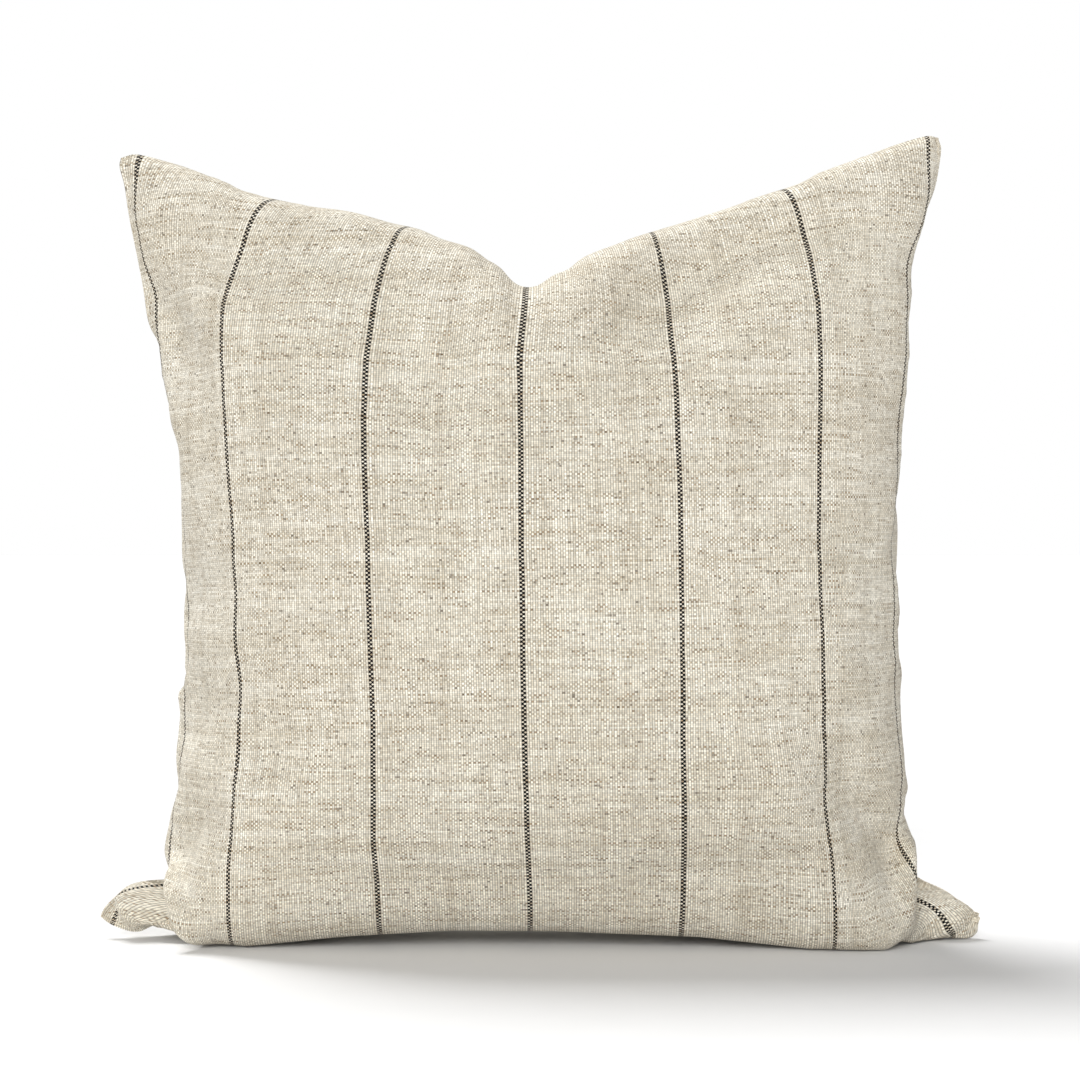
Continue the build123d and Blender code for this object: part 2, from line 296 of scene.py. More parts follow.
def chop_blade():
    """The wedge that presses the notch into the top edge: open below, its faces looking down."""
    right = [(x * MM, z * MM) for x, z in CHOP]
    profile = [(-x, z) for x, z in right[:0:-1]] + right
    count = len(profile)
    points = [(x, y, z) for y in (-CHOP_REACH, CHOP_REACH) for x, z in profile]
    faces = [(i, count + i, count + i + 1, i + 1) for i in range(count - 1)]
    blade = collider("chop", points, faces, 5, 2 * MM, True)
    blade.location[0] = CHOP_AT
    for frame, height in CHOP_FALL:
        blade.location[2] = height
        blade.keyframe_insert("location", frame=frame)
    return blade


def level_square(reach):
    """Corners of a level square on the ground."""
    return [(x * reach, y * reach, 0) for x, y in ((-1, -1), (1, -1), (1, 1), (-1, 1))]


def flat_cover(front, back, flat):
    """Points of the two panels laid together before they are blown up."""
    u, v = flat[..., 0], flat[..., 1]
    bulge = (1 - (2 * u / PANEL) ** 2) * (1 - (2 * v / PANEL - 1) ** 2)
    lift = START_LIFT * np.sqrt(bulge.clip(0, 1))
    start = np.empty((back.max() + 1, 3))
    for side, index in ((1, back), (-1, front)):
        start[index] = np.stack([u, side * lift, v + START_HEIGHT], axis=-1)
    for row in (0, -1):
        for column in (0, -1):
            start[front[row, column], 0] -= np.sign(u[row, column]) * CORNER_CUT
            start[front[row, column], 2] -= np.sign(v[row, column] - PANEL / 2) * CORNER_CUT
    return start


def blown_panels():
    """Front and back grids of the cover after it is stitched, blown up, stood up and chopped."""
    scene = bpy.context.scene
    front, back = panel_indices()
    flat = flat_grid(CELLS + 1)
    start = flat_cover(front, back, flat)
    target, hold = seam_targets(flat)
    goal = start.copy()
    goal[front] = target
    held = np.zeros(len(start))
    held[front] = hold
    filled = np.empty(len(start))
    for index in (front, back):
        filled[index] = np.clip((from_corner(flat) - EMPTY_CORNER) / PRESSURE_RAMP, 0, 1)
    faces = np.concatenate([grid_faces(front), grid_faces(back)[:, ::-1]])
    mesh = bpy.data.meshes.new("cover_cloth")
    mesh.from_pydata(start.tolist(), [], faces.tolist())
    piece = linked("cover_cloth", mesh)
    piece.shape_key_add(name="Basis")
    key = piece.shape_key_add(name="sewn")
    key.data.foreach_set("co", goal.astype(np.float32).ravel())
    for frame, value in ((1, 0.0), (SEWN_BY, 1.0)):
        key.value = value
        key.keyframe_insert("value", frame=frame)
    weighted_group(piece, "held", held)
    weighted_group(piece, "filled", filled)
    cloth_settings(piece)
    ground = collider("ground", level_square(GROUND_REACH), [(0, 1, 2, 3)], 20, 1 * MM, False)
    helpers = [ground, chop_blade()]
    scene.frame_start = 1
    scene.frame_end = FRAMES
    for frame in range(1, FRAMES + 1):
        scene.frame_set(frame)
    depsgraph = bpy.context.evaluated_depsgraph_get()
    settled = np.empty(start.size, np.float32)
    piece.evaluated_get(depsgraph).data.vertices.foreach_get("co", settled)
    settled = settled.reshape(-1, 3).astype(float)
    for helper in (piece, *helpers):
        bpy.data.objects.remove(helper)
    for action in list(bpy.data.actions):
        bpy.data.actions.remove(action)
    scene.frame_set(1)
    return settled[front], settled[back]


# ---------------------------------------------------------------- finishing the shape

def smooth(value):
    """0 below 0, 1 above 1, and an even ramp between."""
    value = np.clip(value, 0, 1)
    return value * value * (3 - 2 * value)


def above(value, start, ramp):
    """0 up to a start, and 1 from one ramp beyond it."""
    return smooth((value - start) / ramp)


def below(value, end, ramp):
    """0 from an end on, and 1 up to one ramp short of it."""
    return smooth((end - value) / ramp)


def halve_rows(rows):
    """Twice the rows, as a cubic spline would put them, with both end rows kept."""
    kept = rows.copy()
    kept[1:-1] = (rows[:-2] + 6 * rows[1:-1] + rows[2:]) / 8
    finer = np.empty((2 * len(rows) - 1, *rows.shape[1:]))
    finer[::2] = kept
    finer[1::2] = (rows[1:] + rows[:-1]) / 2
    return finer


def halve_cells(grid, times):
    """A grid with its cells halved both ways so many times."""
    for _ in range(times):
        grid = halve_rows(grid)
        grid = halve_rows(grid.swapaxes(0, 1)).swapaxes(0, 1)
    return grid


def ripple(places, wavelengths, seed):
    """Uneven waves along a line, from about -1 to 1."""
    random = np.random.default_rng(seed)
    total = np.zeros_like(places)
    for wavelength in wavelengths:
        total = total + np.sin(2 * math.pi * (places / wavelength + random.random()))
    return total / len(wavelengths)


# Listed moves of the outline: X, Z, move in X, move in Z, radius, all in millimetres
NUDGES = (
    (-40, 372, 0, 9, 34),
    (-92, 400, 0, 12, 44),
    (-63, 393, 0, 2.5, 12),
    (-24, 378, 0, 3, 12),
    (6, 366, 0, 4.5, 24),
    (48, 380, 0, 7, 34),
    (-6, 376, 0, -8, 7.5),
    (14, 380, 0, 1.5, 9),
    (98, 405, 0, 6, 46),
    (150, 432, 0, 5, 44),
    (-165, 430, 0, 3.5, 34),
    (-234, 425, -3, 0, 34),
    (-208, 262, 2, 0, 34),
    (-204, 148, -7, 0, 13),
    (-211, 50, -2, 0, 14),
    (-252, 10, -4, 0, 10),
    (-232, 8, 0, -3, 12),
    (234, 422, 2, 0, 18),
    (216, 388, -3.5, 0, 18),
    (-220, 350, -3, 0, 20),
    (-210, 299, -4, 0, 20),
    (206, 298, -2, 0, 26),
    (205, 160, 3, 0, 12),
    (209, 90, 4, 0, 22),
    (243, 4, 1, -4, 12),
    (-240, 453, 0.6, -2.6, 5),
    (-241, 446, -2.2, 0, 9),
    (232, 463, -2.2, -1.5, 5),
)


def nudge(grid):
    """Moves of the outline, the same for front and back."""
    moved = grid.copy()
    for x, z, move_x, move_z, radius in NUDGES:
        away = np.hypot(grid[..., 0] / MM - x, grid[..., 2] / MM - z) / radius
        share = np.exp(-away * away) * MM
        moved[..., 0] += move_x * share
        moved[..., 2] += move_z * share
    return moved


# Dents pressed into the front: X, Z, depth and radius, in millimetres
DENTS = ((5, 361, 3.2, 8), (15, 368, -1.6, 8), (70, 352, 1.2, 26))


def dented(grid):
    """Small hollows that a hand left in the front."""
    pressed = grid.copy()
    for x, z, depth, radius in DENTS:
        away = np.hypot(grid[..., 0] / MM - x, grid[..., 2] / MM - z) / radius
        pressed[..., 1] += depth * np.exp(-away * away) * MM
    return pressed


# Height of the underside's lowest fabric along X, and the width there that lies flat
FOOT_X = (-230, -200, -165, -110, -50, 10, 90, 150, 180, 210, 235)
FOOT_Z = (7, 3.0, 0.4, 5.5, 8.5, 8.0, 5.5, 0.6, 0.4, 0.6, 0.4)
FOOT_FLAT = (0, 2, 6, 3, 0, 0, 5, 16, 20, 12, 4)
FOOT_SPREAD = 0.64       # how far out the fabric goes for its length on the way down to the foot
BODY_SPREAD = 0.92       # and beyond the foot
FOOT_CURVE = 7.0         # how it curves up beyond the foot
FOOT_ENDS = (228, 18)    # where along X this ends, in millimetres, and over what length
FOOT_PATTERN = (250, 40)  # the same across the flat panel, except on its lowest part
FOOT_LOWEST = (32, 12)


def recessed(grid, flat, side):
    """Bends the fabric beside the bottom seam into a flat roof over the zipper pull and a foot."""
    x, u, v = grid[..., 0] / MM, flat[..., 0] / MM, flat[..., 1]
    lowest = np.interp(x, FOOT_X, FOOT_Z) * MM
    level = np.interp(x, FOOT_X, FOOT_FLAT) * MM
    down = smooth((v - ROOF_WIDTH) / (FOOT_AT - ROOF_WIDTH))
    past = (v - FOOT_AT).clip(0)
    going_down = (v - ROOF_WIDTH).clip(0, FOOT_AT - ROOF_WIDTH)
    out = SLOT_GAP + v.clip(0, ROOF_WIDTH) + FOOT_SPREAD * going_down + BODY_SPREAD * past
    height = ROOF + (lowest - ROOF) * down + FOOT_CURVE * (past - level).clip(0) ** 2
    body = smooth((past - level) / (FOOT_END - FOOT_AT))
    inner = np.maximum(below(np.abs(u), *FOOT_PATTERN), below(v / MM, *FOOT_LOWEST))
    along = below(np.abs(x), *FOOT_ENDS) * inner * (v < FOOT_END + level)
    bent = grid.copy()
    bent[..., 1] = (1 - body) * side * out + body * grid[..., 1]
    bent[..., 2] = (1 - body) * height + body * grid[..., 2]
    return grid + (bent - grid) * along[..., None]


# The folds at the bottom corners: flat pattern points (u, v) and where they come to lie, in mm.
# FOLD_PINS give (u, v, x, depth, z) and hold on both panels; TIP_PINS give (u, v, x, y, z).
# The pull of a pin fades over PIN_REACH. The fabric beside the zipper is left alone.
PIN_REACH = 15
NO_PIN_ACROSS = (222, 8)
NO_PIN_UP = (21, 7)
FOLD_PINS = (
    (-240, 34, -228, 8, 27),
    (-228, 26, -219, 9, 16),
    (-216, 16, -213, 13, 7),
    (-252, 26, -240, 3, 27.5),
    (-247, 50, -210, 4, 33),
    (-234, 41, -202, 8, 24),
    (-222, 31, -198, 12, 14),
    (-210, 22, -197, 18, 5),
    (-243, 64, -210, 25, 40),
    (-230, 55, -208, 33, 31),
    (-219, 46, -203, 37, 20),
    (-208, 36, -198, 38, 8),
    (-196, 28, -191, 32, 2),
    (240, 24, 233, 9, 18),
    (228, 26, 222, 15, 9),
    (226, 13, 223, 12, 1.5),
    (214, 22, 211, 20, 2),
    (245, 47, 212, 5, 34),
    (231, 43, 213, 14, 22),
    (216, 38, 210, 30, 7),
    (202, 34, 198, 34, 2),
    (245, 62, 213, 22, 46),
    (231, 58, 212, 33, 33),
    (217, 55, 207, 41, 20),
    (246, 76, 213, 20, 56),
)
TIP_PINS = {
    -1: ((248, 0, 249, -3, 12), (240, 0, 241, -8, 6), (230, 0, 231, -8, 1.5), (238, 10, 237, -12, 9)),
    1: ((248, 0, 249, -3, 12), (240, 0, 241, -8, 6), (230, 0, 231, -8, 1.5), (246, 10, 249, -4, 1),
        (236, 10, 238, -4, 0.6)),
}


def pinned(grid, flat, side):
    """Moves the cloth smoothly so that the pinned pattern points land on their places."""
    def pull(first, second):
        apart = np.linalg.norm(first[..., None, :] - second, axis=-1)
        return np.exp(-(apart / PIN_REACH) ** 2)

    pins = [(u, v, x, side * depth, z) for u, v, x, depth, z in FOLD_PINS] + list(TIP_PINS[side])
    pins = np.array(pins, float)
    spots = pins[:, :2]
    flat = flat / MM
    nearest = [np.linalg.norm(flat - spot, axis=-1).argmin() for spot in spots]
    offsets = pins[:, 2:] - grid.reshape(-1, 3)[nearest] / MM
    weights = np.linalg.solve(pull(spots, spots), offsets)
    beside_zipper = below(np.abs(flat[..., 0]), *NO_PIN_ACROSS) * below(flat[..., 1], *NO_PIN_UP)
    return grid + (1 - beside_zipper)[..., None] * (pull(flat, spots) @ weights) * MM


# Easing of the simulated grids
EASE_SHARE = 0.22        # over the whole panel, away from its edges
EASE_EDGE = 40 * MM      # distance from the edge over which that share comes in
TUCK_FADE = 20 * MM      # height over which the sides leave their outline, above TUCK_AT
EASE_ROUNDS = 16
EAR_FROM = 190 * MM      # the bottom corners: beyond this across, and below EAR_TOP
EAR_TOP = 55 * MM
EAR_RAMP = 30 * MM
NOTCH_WIDTH = 90 * MM    # the chopped part of the top: this wide each side, above NOTCH_FROM
NOTCH_FROM = 360 * MM
NOTCH_RAMP = 60 * MM


def relaxed(grid, share, times):
    """Evens out the inside of a grid, most where share is 1."""
    grid = grid.copy()
    for _ in range(times):
        around = (grid[:-2, 1:-1] + grid[2:, 1:-1] + grid[1:-1, :-2] + grid[1:-1, 2:]) / 4
        grid[1:-1, 1:-1] += (around - grid[1:-1, 1:-1]) * 0.5 * share[1:-1, 1:-1, None]
    return grid


def calmed(front, back):
    """The simulated grids with the bottom corners on their outline and the stray buckles eased."""
    flat = flat_grid(front.shape[0])
    u, v = flat[..., 0], flat[..., 1]
    target, _ = seam_targets(flat)
    ear = 1 - above(v, TUCK_AT, TUCK_FADE)
    in_ear = above(np.abs(u), EAR_FROM, EAR_RAMP) * (1 - above(v, EAR_TOP, EAR_RAMP))
    at_notch = np.exp(-((u - CHOP_AT) / NOTCH_WIDTH) ** 2) * above(v, NOTCH_FROM, NOTCH_RAMP)
    inside = np.minimum(PANEL / 2 - np.abs(u), PANEL - v)
    share = np.maximum(EASE_SHARE * smooth(inside / EASE_EDGE), np.maximum(in_ear, at_notch))
    calm = []
    for grid in (front, back):
        grid = grid.copy()
        for column in (0, -1):
            part = ear[:, column, None]
            grid[:, column] = target[:, column] * part + grid[:, column] * (1 - part)
        calm.append(relaxed(grid, share, EASE_ROUNDS))
    return calm


# The rolled top edge
ROLL_BLUNTNESS = 0.58    # power of the sine: 1 is an ellipse, less is squarer
ROLL_LENGTH = 70 * MM    # fabric in the roll near the corners
ROLL_MORE = 110 * MM     # how much more there is at the notch
ROLL_NEAR = 75 * MM      # how far each side of the notch that reaches
ROLL_SHARE = 0.45        # how fully the corners follow the roll; the notch follows it fully
ROLL_WIDE = 130 * MM     # how far each side of the notch follows it
ROLL_END = (0.7, 0.3)    # share of its length from which it goes over into the face
ROLL_STEPS = 60


def rolled_over(grid, flat):
    """Rounds the fabric from the top seam into the face, most beside the notch."""
    top = grid.shape[0] - 1
    u = flat[0, :, 0]
    length = ROLL_LENGTH + ROLL_MORE * np.exp(-((u - CHOP_AT) / ROLL_NEAR) ** 2)
    columns = np.arange(grid.shape[1])
    body = sampled(grid, top * (1 - length / PANEL), columns)
    down = ((PANEL - flat[..., 1]) / length).clip(0, 1)
    turn = np.linspace(0, math.pi / 2, ROLL_STEPS)
    out = np.sin(turn) ** ROLL_BLUNTNESS
    fall = 1 - np.cos(turn) ** ROLL_BLUNTNESS
    roll = grid.copy()
    for column in columns:
        step = body[column] - grid[-1, column]
        curve = grid[-1, column] + step * np.stack([fall, out, fall], axis=-1)
        run = distances(curve)
        for axis in range(3):
            roll[:, column, axis] = np.interp(down[:, column], run / run[-1], curve[:, axis])
    share = ROLL_SHARE + (1 - ROLL_SHARE) * np.exp(-((u - CHOP_AT) / ROLL_WIDE) ** 4)
    share = share * (1 - above(down, *ROLL_END))
    return grid + (roll - grid) * share[..., None]


# How far the threads lean along the top seam for each place across, in millimetres. Places below
# are on the flat panel. A pair is an edge, and the ramp inside it.
LEAN_LENGTH = 95 * MM
LEAN_AT = (-254, -236, -165, -85, -5, 75, 155, 236, 254)
LEAN = (0, 11, 27, 22, 0, -9, -16, 8, 0)
PANEL_EDGE = (254, 16)
SLIDE = 7.5 * MM         # how far the last stripe is drawn round onto the front at the right side
SLIDE_INNER = (165, 60)
SLIDE_FOOT = (125, 60)
SLIDE_TOP = (455, 50)
BOW = 6.5 * MM           # how far the outer threads bow outwards below the top corners
BOW_INNER = (195, 36)
BOW_AT = 466             # height where they bow most
BOW_REACH = 32


def leaning(grid, flat, side):
    """Slides threads along the surface: near the top seam to the notch, and round the right side."""
    near = (1 - (PANEL - flat[..., 1]) / LEAN_LENGTH).clip(0, 1) ** 2
    rows, columns = np.indices(grid.shape[:2]).astype(float)
    lean = np.interp(flat[..., 0] / MM, LEAN_AT, LEAN) * MM
    u, v = flat[..., 0] / MM, flat[..., 1] / MM
    beside = above(u, *SLIDE_INNER) * below(u, *PANEL_EDGE)
    beside = beside * above(v, *SLIDE_FOOT) * below(v, *SLIDE_TOP)
    bowed = above(np.abs(u), *BOW_INNER) * below(np.abs(u), *PANEL_EDGE)
    bowed = bowed * np.exp(-((v - BOW_AT) / BOW_REACH) ** 2)
    slide = lean * near - SLIDE * beside * (side < 0) + BOW * np.sign(u) * bowed
    columns += slide * (grid.shape[1] - 1) / PANEL
    return sampled(grid, rows, columns)


# Moves across the face that set the stripes, in millimetres: along X for each height Z
SHIFT_X = (-205, -160, -85, -7, 72, 150, 205)
SHIFT_Z = (30, 65, 97, 130, 230, 296, 329, 362, 397)
SHIFTS = (
    (0, -9.5, -4.9, -0.7, 4, 9.8, 0),
    (0, -7, -6.2, -2.1, 3.8, 8, 0),
    (0, -7.3, -5.7, -3, 2.5, 11, 0),
    (0, -7.5, -5.1, -3.9, 2.3, 5.4, 0),
    (0, -8.2, -7.8, -4.5, 1.8, 1.3, 0),
    (0, -13, -13.2, -4.4, 2.5, 4, 0),
    (0, -16.8, -14, -4.3, 3.8, 6, 0),
    (0, -17.2, -12, -1.3, 3.2, 7.7, 0),
    (0, -12.4, -4.8, 0, 0, 6, 0),
)


def shifted(grid):
    """Slides the fabric sideways to where its stripes should be."""
    x, z = grid[..., 0] / MM, grid[..., 2] / MM
    move = np.zeros_like(x)
    for row, weights in zip(SHIFTS, np.eye(len(SHIFT_Z))):
        move = move + np.interp(x, SHIFT_X, row) * np.interp(z, SHIFT_Z, weights)
    moved = grid.copy()
    moved[..., 0] += move * MM
    return moved


def joined(front, back):
    """The two grids with their outer rings brought together."""
    rows, columns = ring_of(front.shape[0])
    seam = (front[rows, columns] + back[rows, columns]) / 2
    front[rows, columns] = seam
    back[rows, columns] = seam
    return front, back


def finished_panels():
    """Front and back grids of the cover, fine and in their final shape."""
    front, back = calmed(*blown_panels())
    front, back = halve_cells(front, FINER), halve_cells(back, FINER)
    return shaped_panels(front, back)


def shaped_panels(front, back):
    """The simulated grids after the work on their outline, underside and seam."""
    flat = flat_grid(front.shape[0])
    shaped = []
    for side, grid in ((-1, front), (1, back)):
        grid = grid * (1, DEPTH_SHARE, 1)
        grid = rolled_over(grid, flat)
        grid = nudge(grid)
        grid = shifted(grid)
        grid = leaning(grid, flat, side)
        if side < 0:
            grid = dented(grid)
        grid = recessed(grid, flat, side)
        grid = pinned(grid, flat, side)
        grid = puckered(grid, flat, side)
        grid[..., 2] = np.maximum(grid[..., 2], FLOOR_AIR)
        shaped.append(grid)
    return joined(*shaped)


def grid_normals(grid, side):
    """Unit normals of a grid, away from the inside of the pillow."""
    across = np.gradient(grid, axis=1)
    up = np.gradient(grid, axis=0)
    normal = side * np.cross(up, across)
    return normal / (np.linalg.norm(normal, axis=-1, keepdims=True) + 1e-12)


# Gathers beside the sewn seams and broad waves over the panel, with wavelengths in metres
SIDE_GATHERS = (0.0071, 0.0113, 0.0190)
TOP_GATHERS = (0.0083, 0.0127, 0.0210)
GATHER_FADE = 11 * MM    # distance from the seam over which the gathers fade
GATHER_HEIGHT = 0.55 * MM
BROAD_WAVES = ((0.047, 0.083), (0.061, 0.093))
BROAD_HEIGHT = 0.7 * MM
BROAD_FROM = 50 * MM     # the broad waves come in above this, over as much again
CALM_FOOT = 30 * MM      # nothing below this height
CALM_EDGE = 4 * MM       # and less within this distance of a seam


def puckered(grid, flat, side):
    """Small gathers beside the sewn seams and slight unevenness over the whole panel."""
    u, v = flat[..., 0], flat[..., 1]
    to_side = PANEL / 2 - np.abs(u)
    to_top = PANEL - v
    seed = 10 + side
    gather = ripple(v, SIDE_GATHERS, seed) * np.exp(-to_side / GATHER_FADE)
    gather = gather + ripple(u, TOP_GATHERS, seed + 5) * np.exp(-to_top / GATHER_FADE)
    gather = gather * smooth(np.minimum(to_side, to_top) / CALM_EDGE)
    broad = ripple(u + 0.4 * v, BROAD_WAVES[0], seed + 9)
    broad = broad * ripple(v - 0.3 * u, BROAD_WAVES[1], seed + 13)
    lift = GATHER_HEIGHT * gather + BROAD_HEIGHT * broad * above(v, BROAD_FROM, BROAD_FROM)
    lift = lift * smooth(np.minimum(to_side, np.minimum(to_top, v - CALM_FOOT)) / CALM_EDGE)
    return grid + grid_normals(grid, side) * lift[..., None]


# ---------------------------------------------------------------- panels

def ring_of(count):
    """Rows and columns of a grid's outer ring, anticlockwise as seen from the front."""
    last = count - 1
    run = np.arange(last)
    rows = np.concatenate([run * 0, run, run * 0 + last, last - run])
    columns = np.concatenate([run, run * 0 + last, last - run, run * 0])
    return rows, columns


def seam_frame(front, back, reach):
    """Seam points, the direction into the pillow along its middle, and the direction to the back."""
    count = front.shape[0]
    rows, columns = ring_of(count)
    seam = front[rows, columns]
    tangent = np.roll(seam, -2, axis=0) - np.roll(seam, 2, axis=0)
    tangent /= np.linalg.norm(tangent, axis=-1, keepdims=True)
    inner_rows = rows.clip(reach, count - 1 - reach)
    inner_columns = columns.clip(reach, count - 1 - reach)
    middle = (front[inner_rows, inner_columns] + back[inner_rows, inner_columns]) / 2 - seam
    middle -= tangent * np.sum(tangent * middle, axis=-1, keepdims=True)
    square = np.stack([-tangent[:, 2], np.zeros(len(seam)), tangent[:, 0]], axis=-1)
    inward = middle + square * SEAM_STEADY
    inward /= np.linalg.norm(inward, axis=-1, keepdims=True)
    backward = np.cross(inward, tangent)
    backward /= np.linalg.norm(backward, axis=-1, keepdims=True)
    return seam, inward, backward


def slot_share(flat_ring):
    """1 at the zipper slot, 0 where the seam is sewn shut."""
    beyond = (np.abs(flat_ring[:, 0]) - SLOT_HALF) / SLOT_FADE
    return (1 - smooth(beyond)) * (flat_ring[:, 1] < 1e-6)


def surface(name, points, faces, places, material, crease=55):
    """A smooth-shaded mesh with pattern coordinates as its UVs, sharp at edges over crease degrees."""
    mesh = bpy.data.meshes.new(name)
    mesh.from_pydata(points.tolist(), [], faces)
    layer = mesh.uv_layers.new(name="pattern")
    corners = np.empty(len(mesh.loops), np.int32)
    mesh.loops.foreach_get("vertex_index", corners)
    layer.data.foreach_set("uv", places[corners].astype(np.float32).ravel())
    mesh.shade_smooth()
    if crease:
        mesh.set_sharp_from_angle(angle=math.radians(crease))
    mesh.materials.append(material)
    return linked(name, mesh)


def grid_faces(numbers):
    """Quads of a grid of vertex numbers, facing the front."""
    quads = np.stack(
        [numbers[:-1, :-1], numbers[:-1, 1:], numbers[1:, 1:], numbers[1:, :-1]], axis=-1
    )
    return quads.reshape(-1, 4)


def band_faces(first, second):
    """Quads between two closed loops of vertex numbers, from the first loop to the second."""
    return np.stack([np.roll(first, -1), first, second, np.roll(second, -1)], axis=-1)


def thread_places(grid, flat):
    """Pattern places with the height measured along the cloth, so picks keep their spacing."""
    width = 25
    weights = np.hanning(width + 2)[1:-1]
    weights /= weights.sum()
    steps = np.linalg.norm(np.diff(grid, axis=0), axis=-1)
    steps = np.pad(steps, ((0, 0), (width // 2, width // 2)), mode="edge")
    steps = np.stack([np.convolve(row, weights, "valid") for row in steps])
    along = np.concatenate([np.zeros((1, grid.shape[1])), np.cumsum(steps, axis=0)])
    middle = grid.shape[0] // 2
    places = flat.copy()
    places[..., 1] = along - along[middle] + flat[middle, 0, 1]
    return places


def sewn_panel(name, front, back, side, cloth, allowance, gap, slot, material):
    """One panel of fabric with its turned-in seam allowance, as a closed shell of even thickness."""
    outer = (front if side < 0 else back).copy()
    count = outer.shape[0]
    flat = flat_grid(count)
    rows, columns = ring_of(count)
    threads = thread_places(outer, flat)
    seam, inward, backward = seam_frame(front, back, 4)
    outward = backward * side
    open_share = slot_share(flat[rows, columns])[:, None] * slot
    inner = outer - grid_normals(outer, side) * cloth
    outer[rows, columns] = seam + outward * (gap + (SLOT_GAP - gap) * open_share)
    trimmed = smooth(from_corner(flat[rows, columns]) / TRIM_REACH)
    depth = (1.5 * cloth + (allowance - 1.5 * cloth) * trimmed)[:, None]
    # The allowance is four loops behind the seam, each so far apart from the other panel and so
    # deep. Along the zipper slot they are drawn up into a plain cut edge, at shares of its thickness.
    sewn = ((0.3 * gap, 0.8 * cloth), (0.3 * gap, depth), (cloth, depth), (1.05 * cloth, 1.6 * cloth))
    cut = (0.25, 0.5, 0.75, 0.9)
    loops = []
    for (apart, deep), share in zip(sewn, cut):
        apart = apart + (SLOT_GAP - apart) * open_share
        deep = deep + (share * cloth - deep) * open_share
        loops.append(seam + outward * apart + inward * deep)
    apart = 1.15 * cloth + (SLOT_GAP - 1.15 * cloth) * open_share
    deep = 1.4 * cloth + (cloth - 1.4 * cloth) * open_share
    inner[rows, columns] = seam + outward * apart + inward * deep
    numbers = np.arange(count * count).reshape(count, count)
    points = [outer.reshape(-1, 3)]
    places = [threads.reshape(-1, 2)]
    faces = [grid_faces(numbers)]
    loop = numbers[rows, columns]
    used = count * count
    for ring in loops:
        following = used + np.arange(len(ring))
        points.append(ring)
        places.append(threads[rows, columns])
        faces.append(band_faces(loop, following))
        loop = following
        used += len(ring)
    inner_numbers = numbers + used
    points.append(inner.reshape(-1, 3))
    places.append(threads.reshape(-1, 2))
    faces.append(band_faces(loop, inner_numbers[rows, columns]))
    faces.append(grid_faces(inner_numbers)[:, ::-1])
    faces = np.concatenate(faces)[:, :: -side]
    return surface(name, np.concatenate(points), faces.tolist(), np.concatenate(places), material)


# ---------------------------------------------------------------- inside the cover

def sampled(grid, rows, columns):
    """Points of a grid at fractional rows and columns."""
    low_row = np.clip(np.floor(rows).astype(int), 0, grid.shape[0] - 2)
    low_column = np.clip(np.floor(columns).astype(int), 0, grid.shape[1] - 2)
    up, across = (rows - low_row)[..., None], (columns - low_column)[..., None]
    bottom = grid[low_row, low_column] * (1 - across) + grid[low_row, low_column + 1] * across
    top = grid[low_row + 1, low_column] * (1 - across) + grid[low_row + 1, low_column + 1] * across
    return bottom * (1 - up) + top * up


def insert_panels(front, back, gap):
    """Grids inside the cover, gap away from it, pinched together along the insert's own seam."""
    count = front.shape[0]
    s, t = np.meshgrid(np.linspace(-1, 1, INSERT_CELLS + 1), np.linspace(-1, 1, INSERT_CELLS + 1))
    half = PANEL / 2 - INSERT_INSET
    u = s * (half - INSERT_CORNER * t ** 4)
    v = PANEL / 2 + t * (half - INSERT_CORNER * s ** 4)
    rows = v / PANEL * (count - 1)
    columns = (u / PANEL + 0.5) * (count - 1)
    face, rear = sampled(front, rows, columns), sampled(back, rows, columns)
    middle, reach = (face + rear) / 2, (face - rear) / 2
    width = np.linalg.norm(reach, axis=-1) + 1e-9
    to_edge = half * (1 - np.maximum(np.abs(s), np.abs(t)))
    crown = np.sqrt((1 - (1 - to_edge / INSERT_EDGE).clip(0, 1) ** 2).clip(0, 1))
    share = ((1 - gap / width).clip(0, 1) * crown)[..., None]
    panels = [middle + reach * share, middle - reach * share]
    for grid in panels:
        grid *= INSERT_SHARE
        grid[..., 2] += INSERT_LIFT
        x, z = grid[..., 0], grid[..., 2]
        drawn_in = (1 - INSERT_FOOT) * (1 - above(z / MM, *INSERT_FOOT_AT))
        grid[..., 0] = np.sign(x) * (np.abs(x) - drawn_in * (np.abs(x) - INSERT_WAIST).clip(0))
        y = np.abs(grid[..., 1])
        roof = INSERT_ROOF * (1 - above(y / MM, *INSERT_ROOF_WIDTH)) + INSERT_LOWEST
        near = below(np.abs(grid[..., 0] / MM), *INSERT_ROOF_ENDS)
        grid[..., 2] = np.maximum(grid[..., 2], roof * near)
    return panels


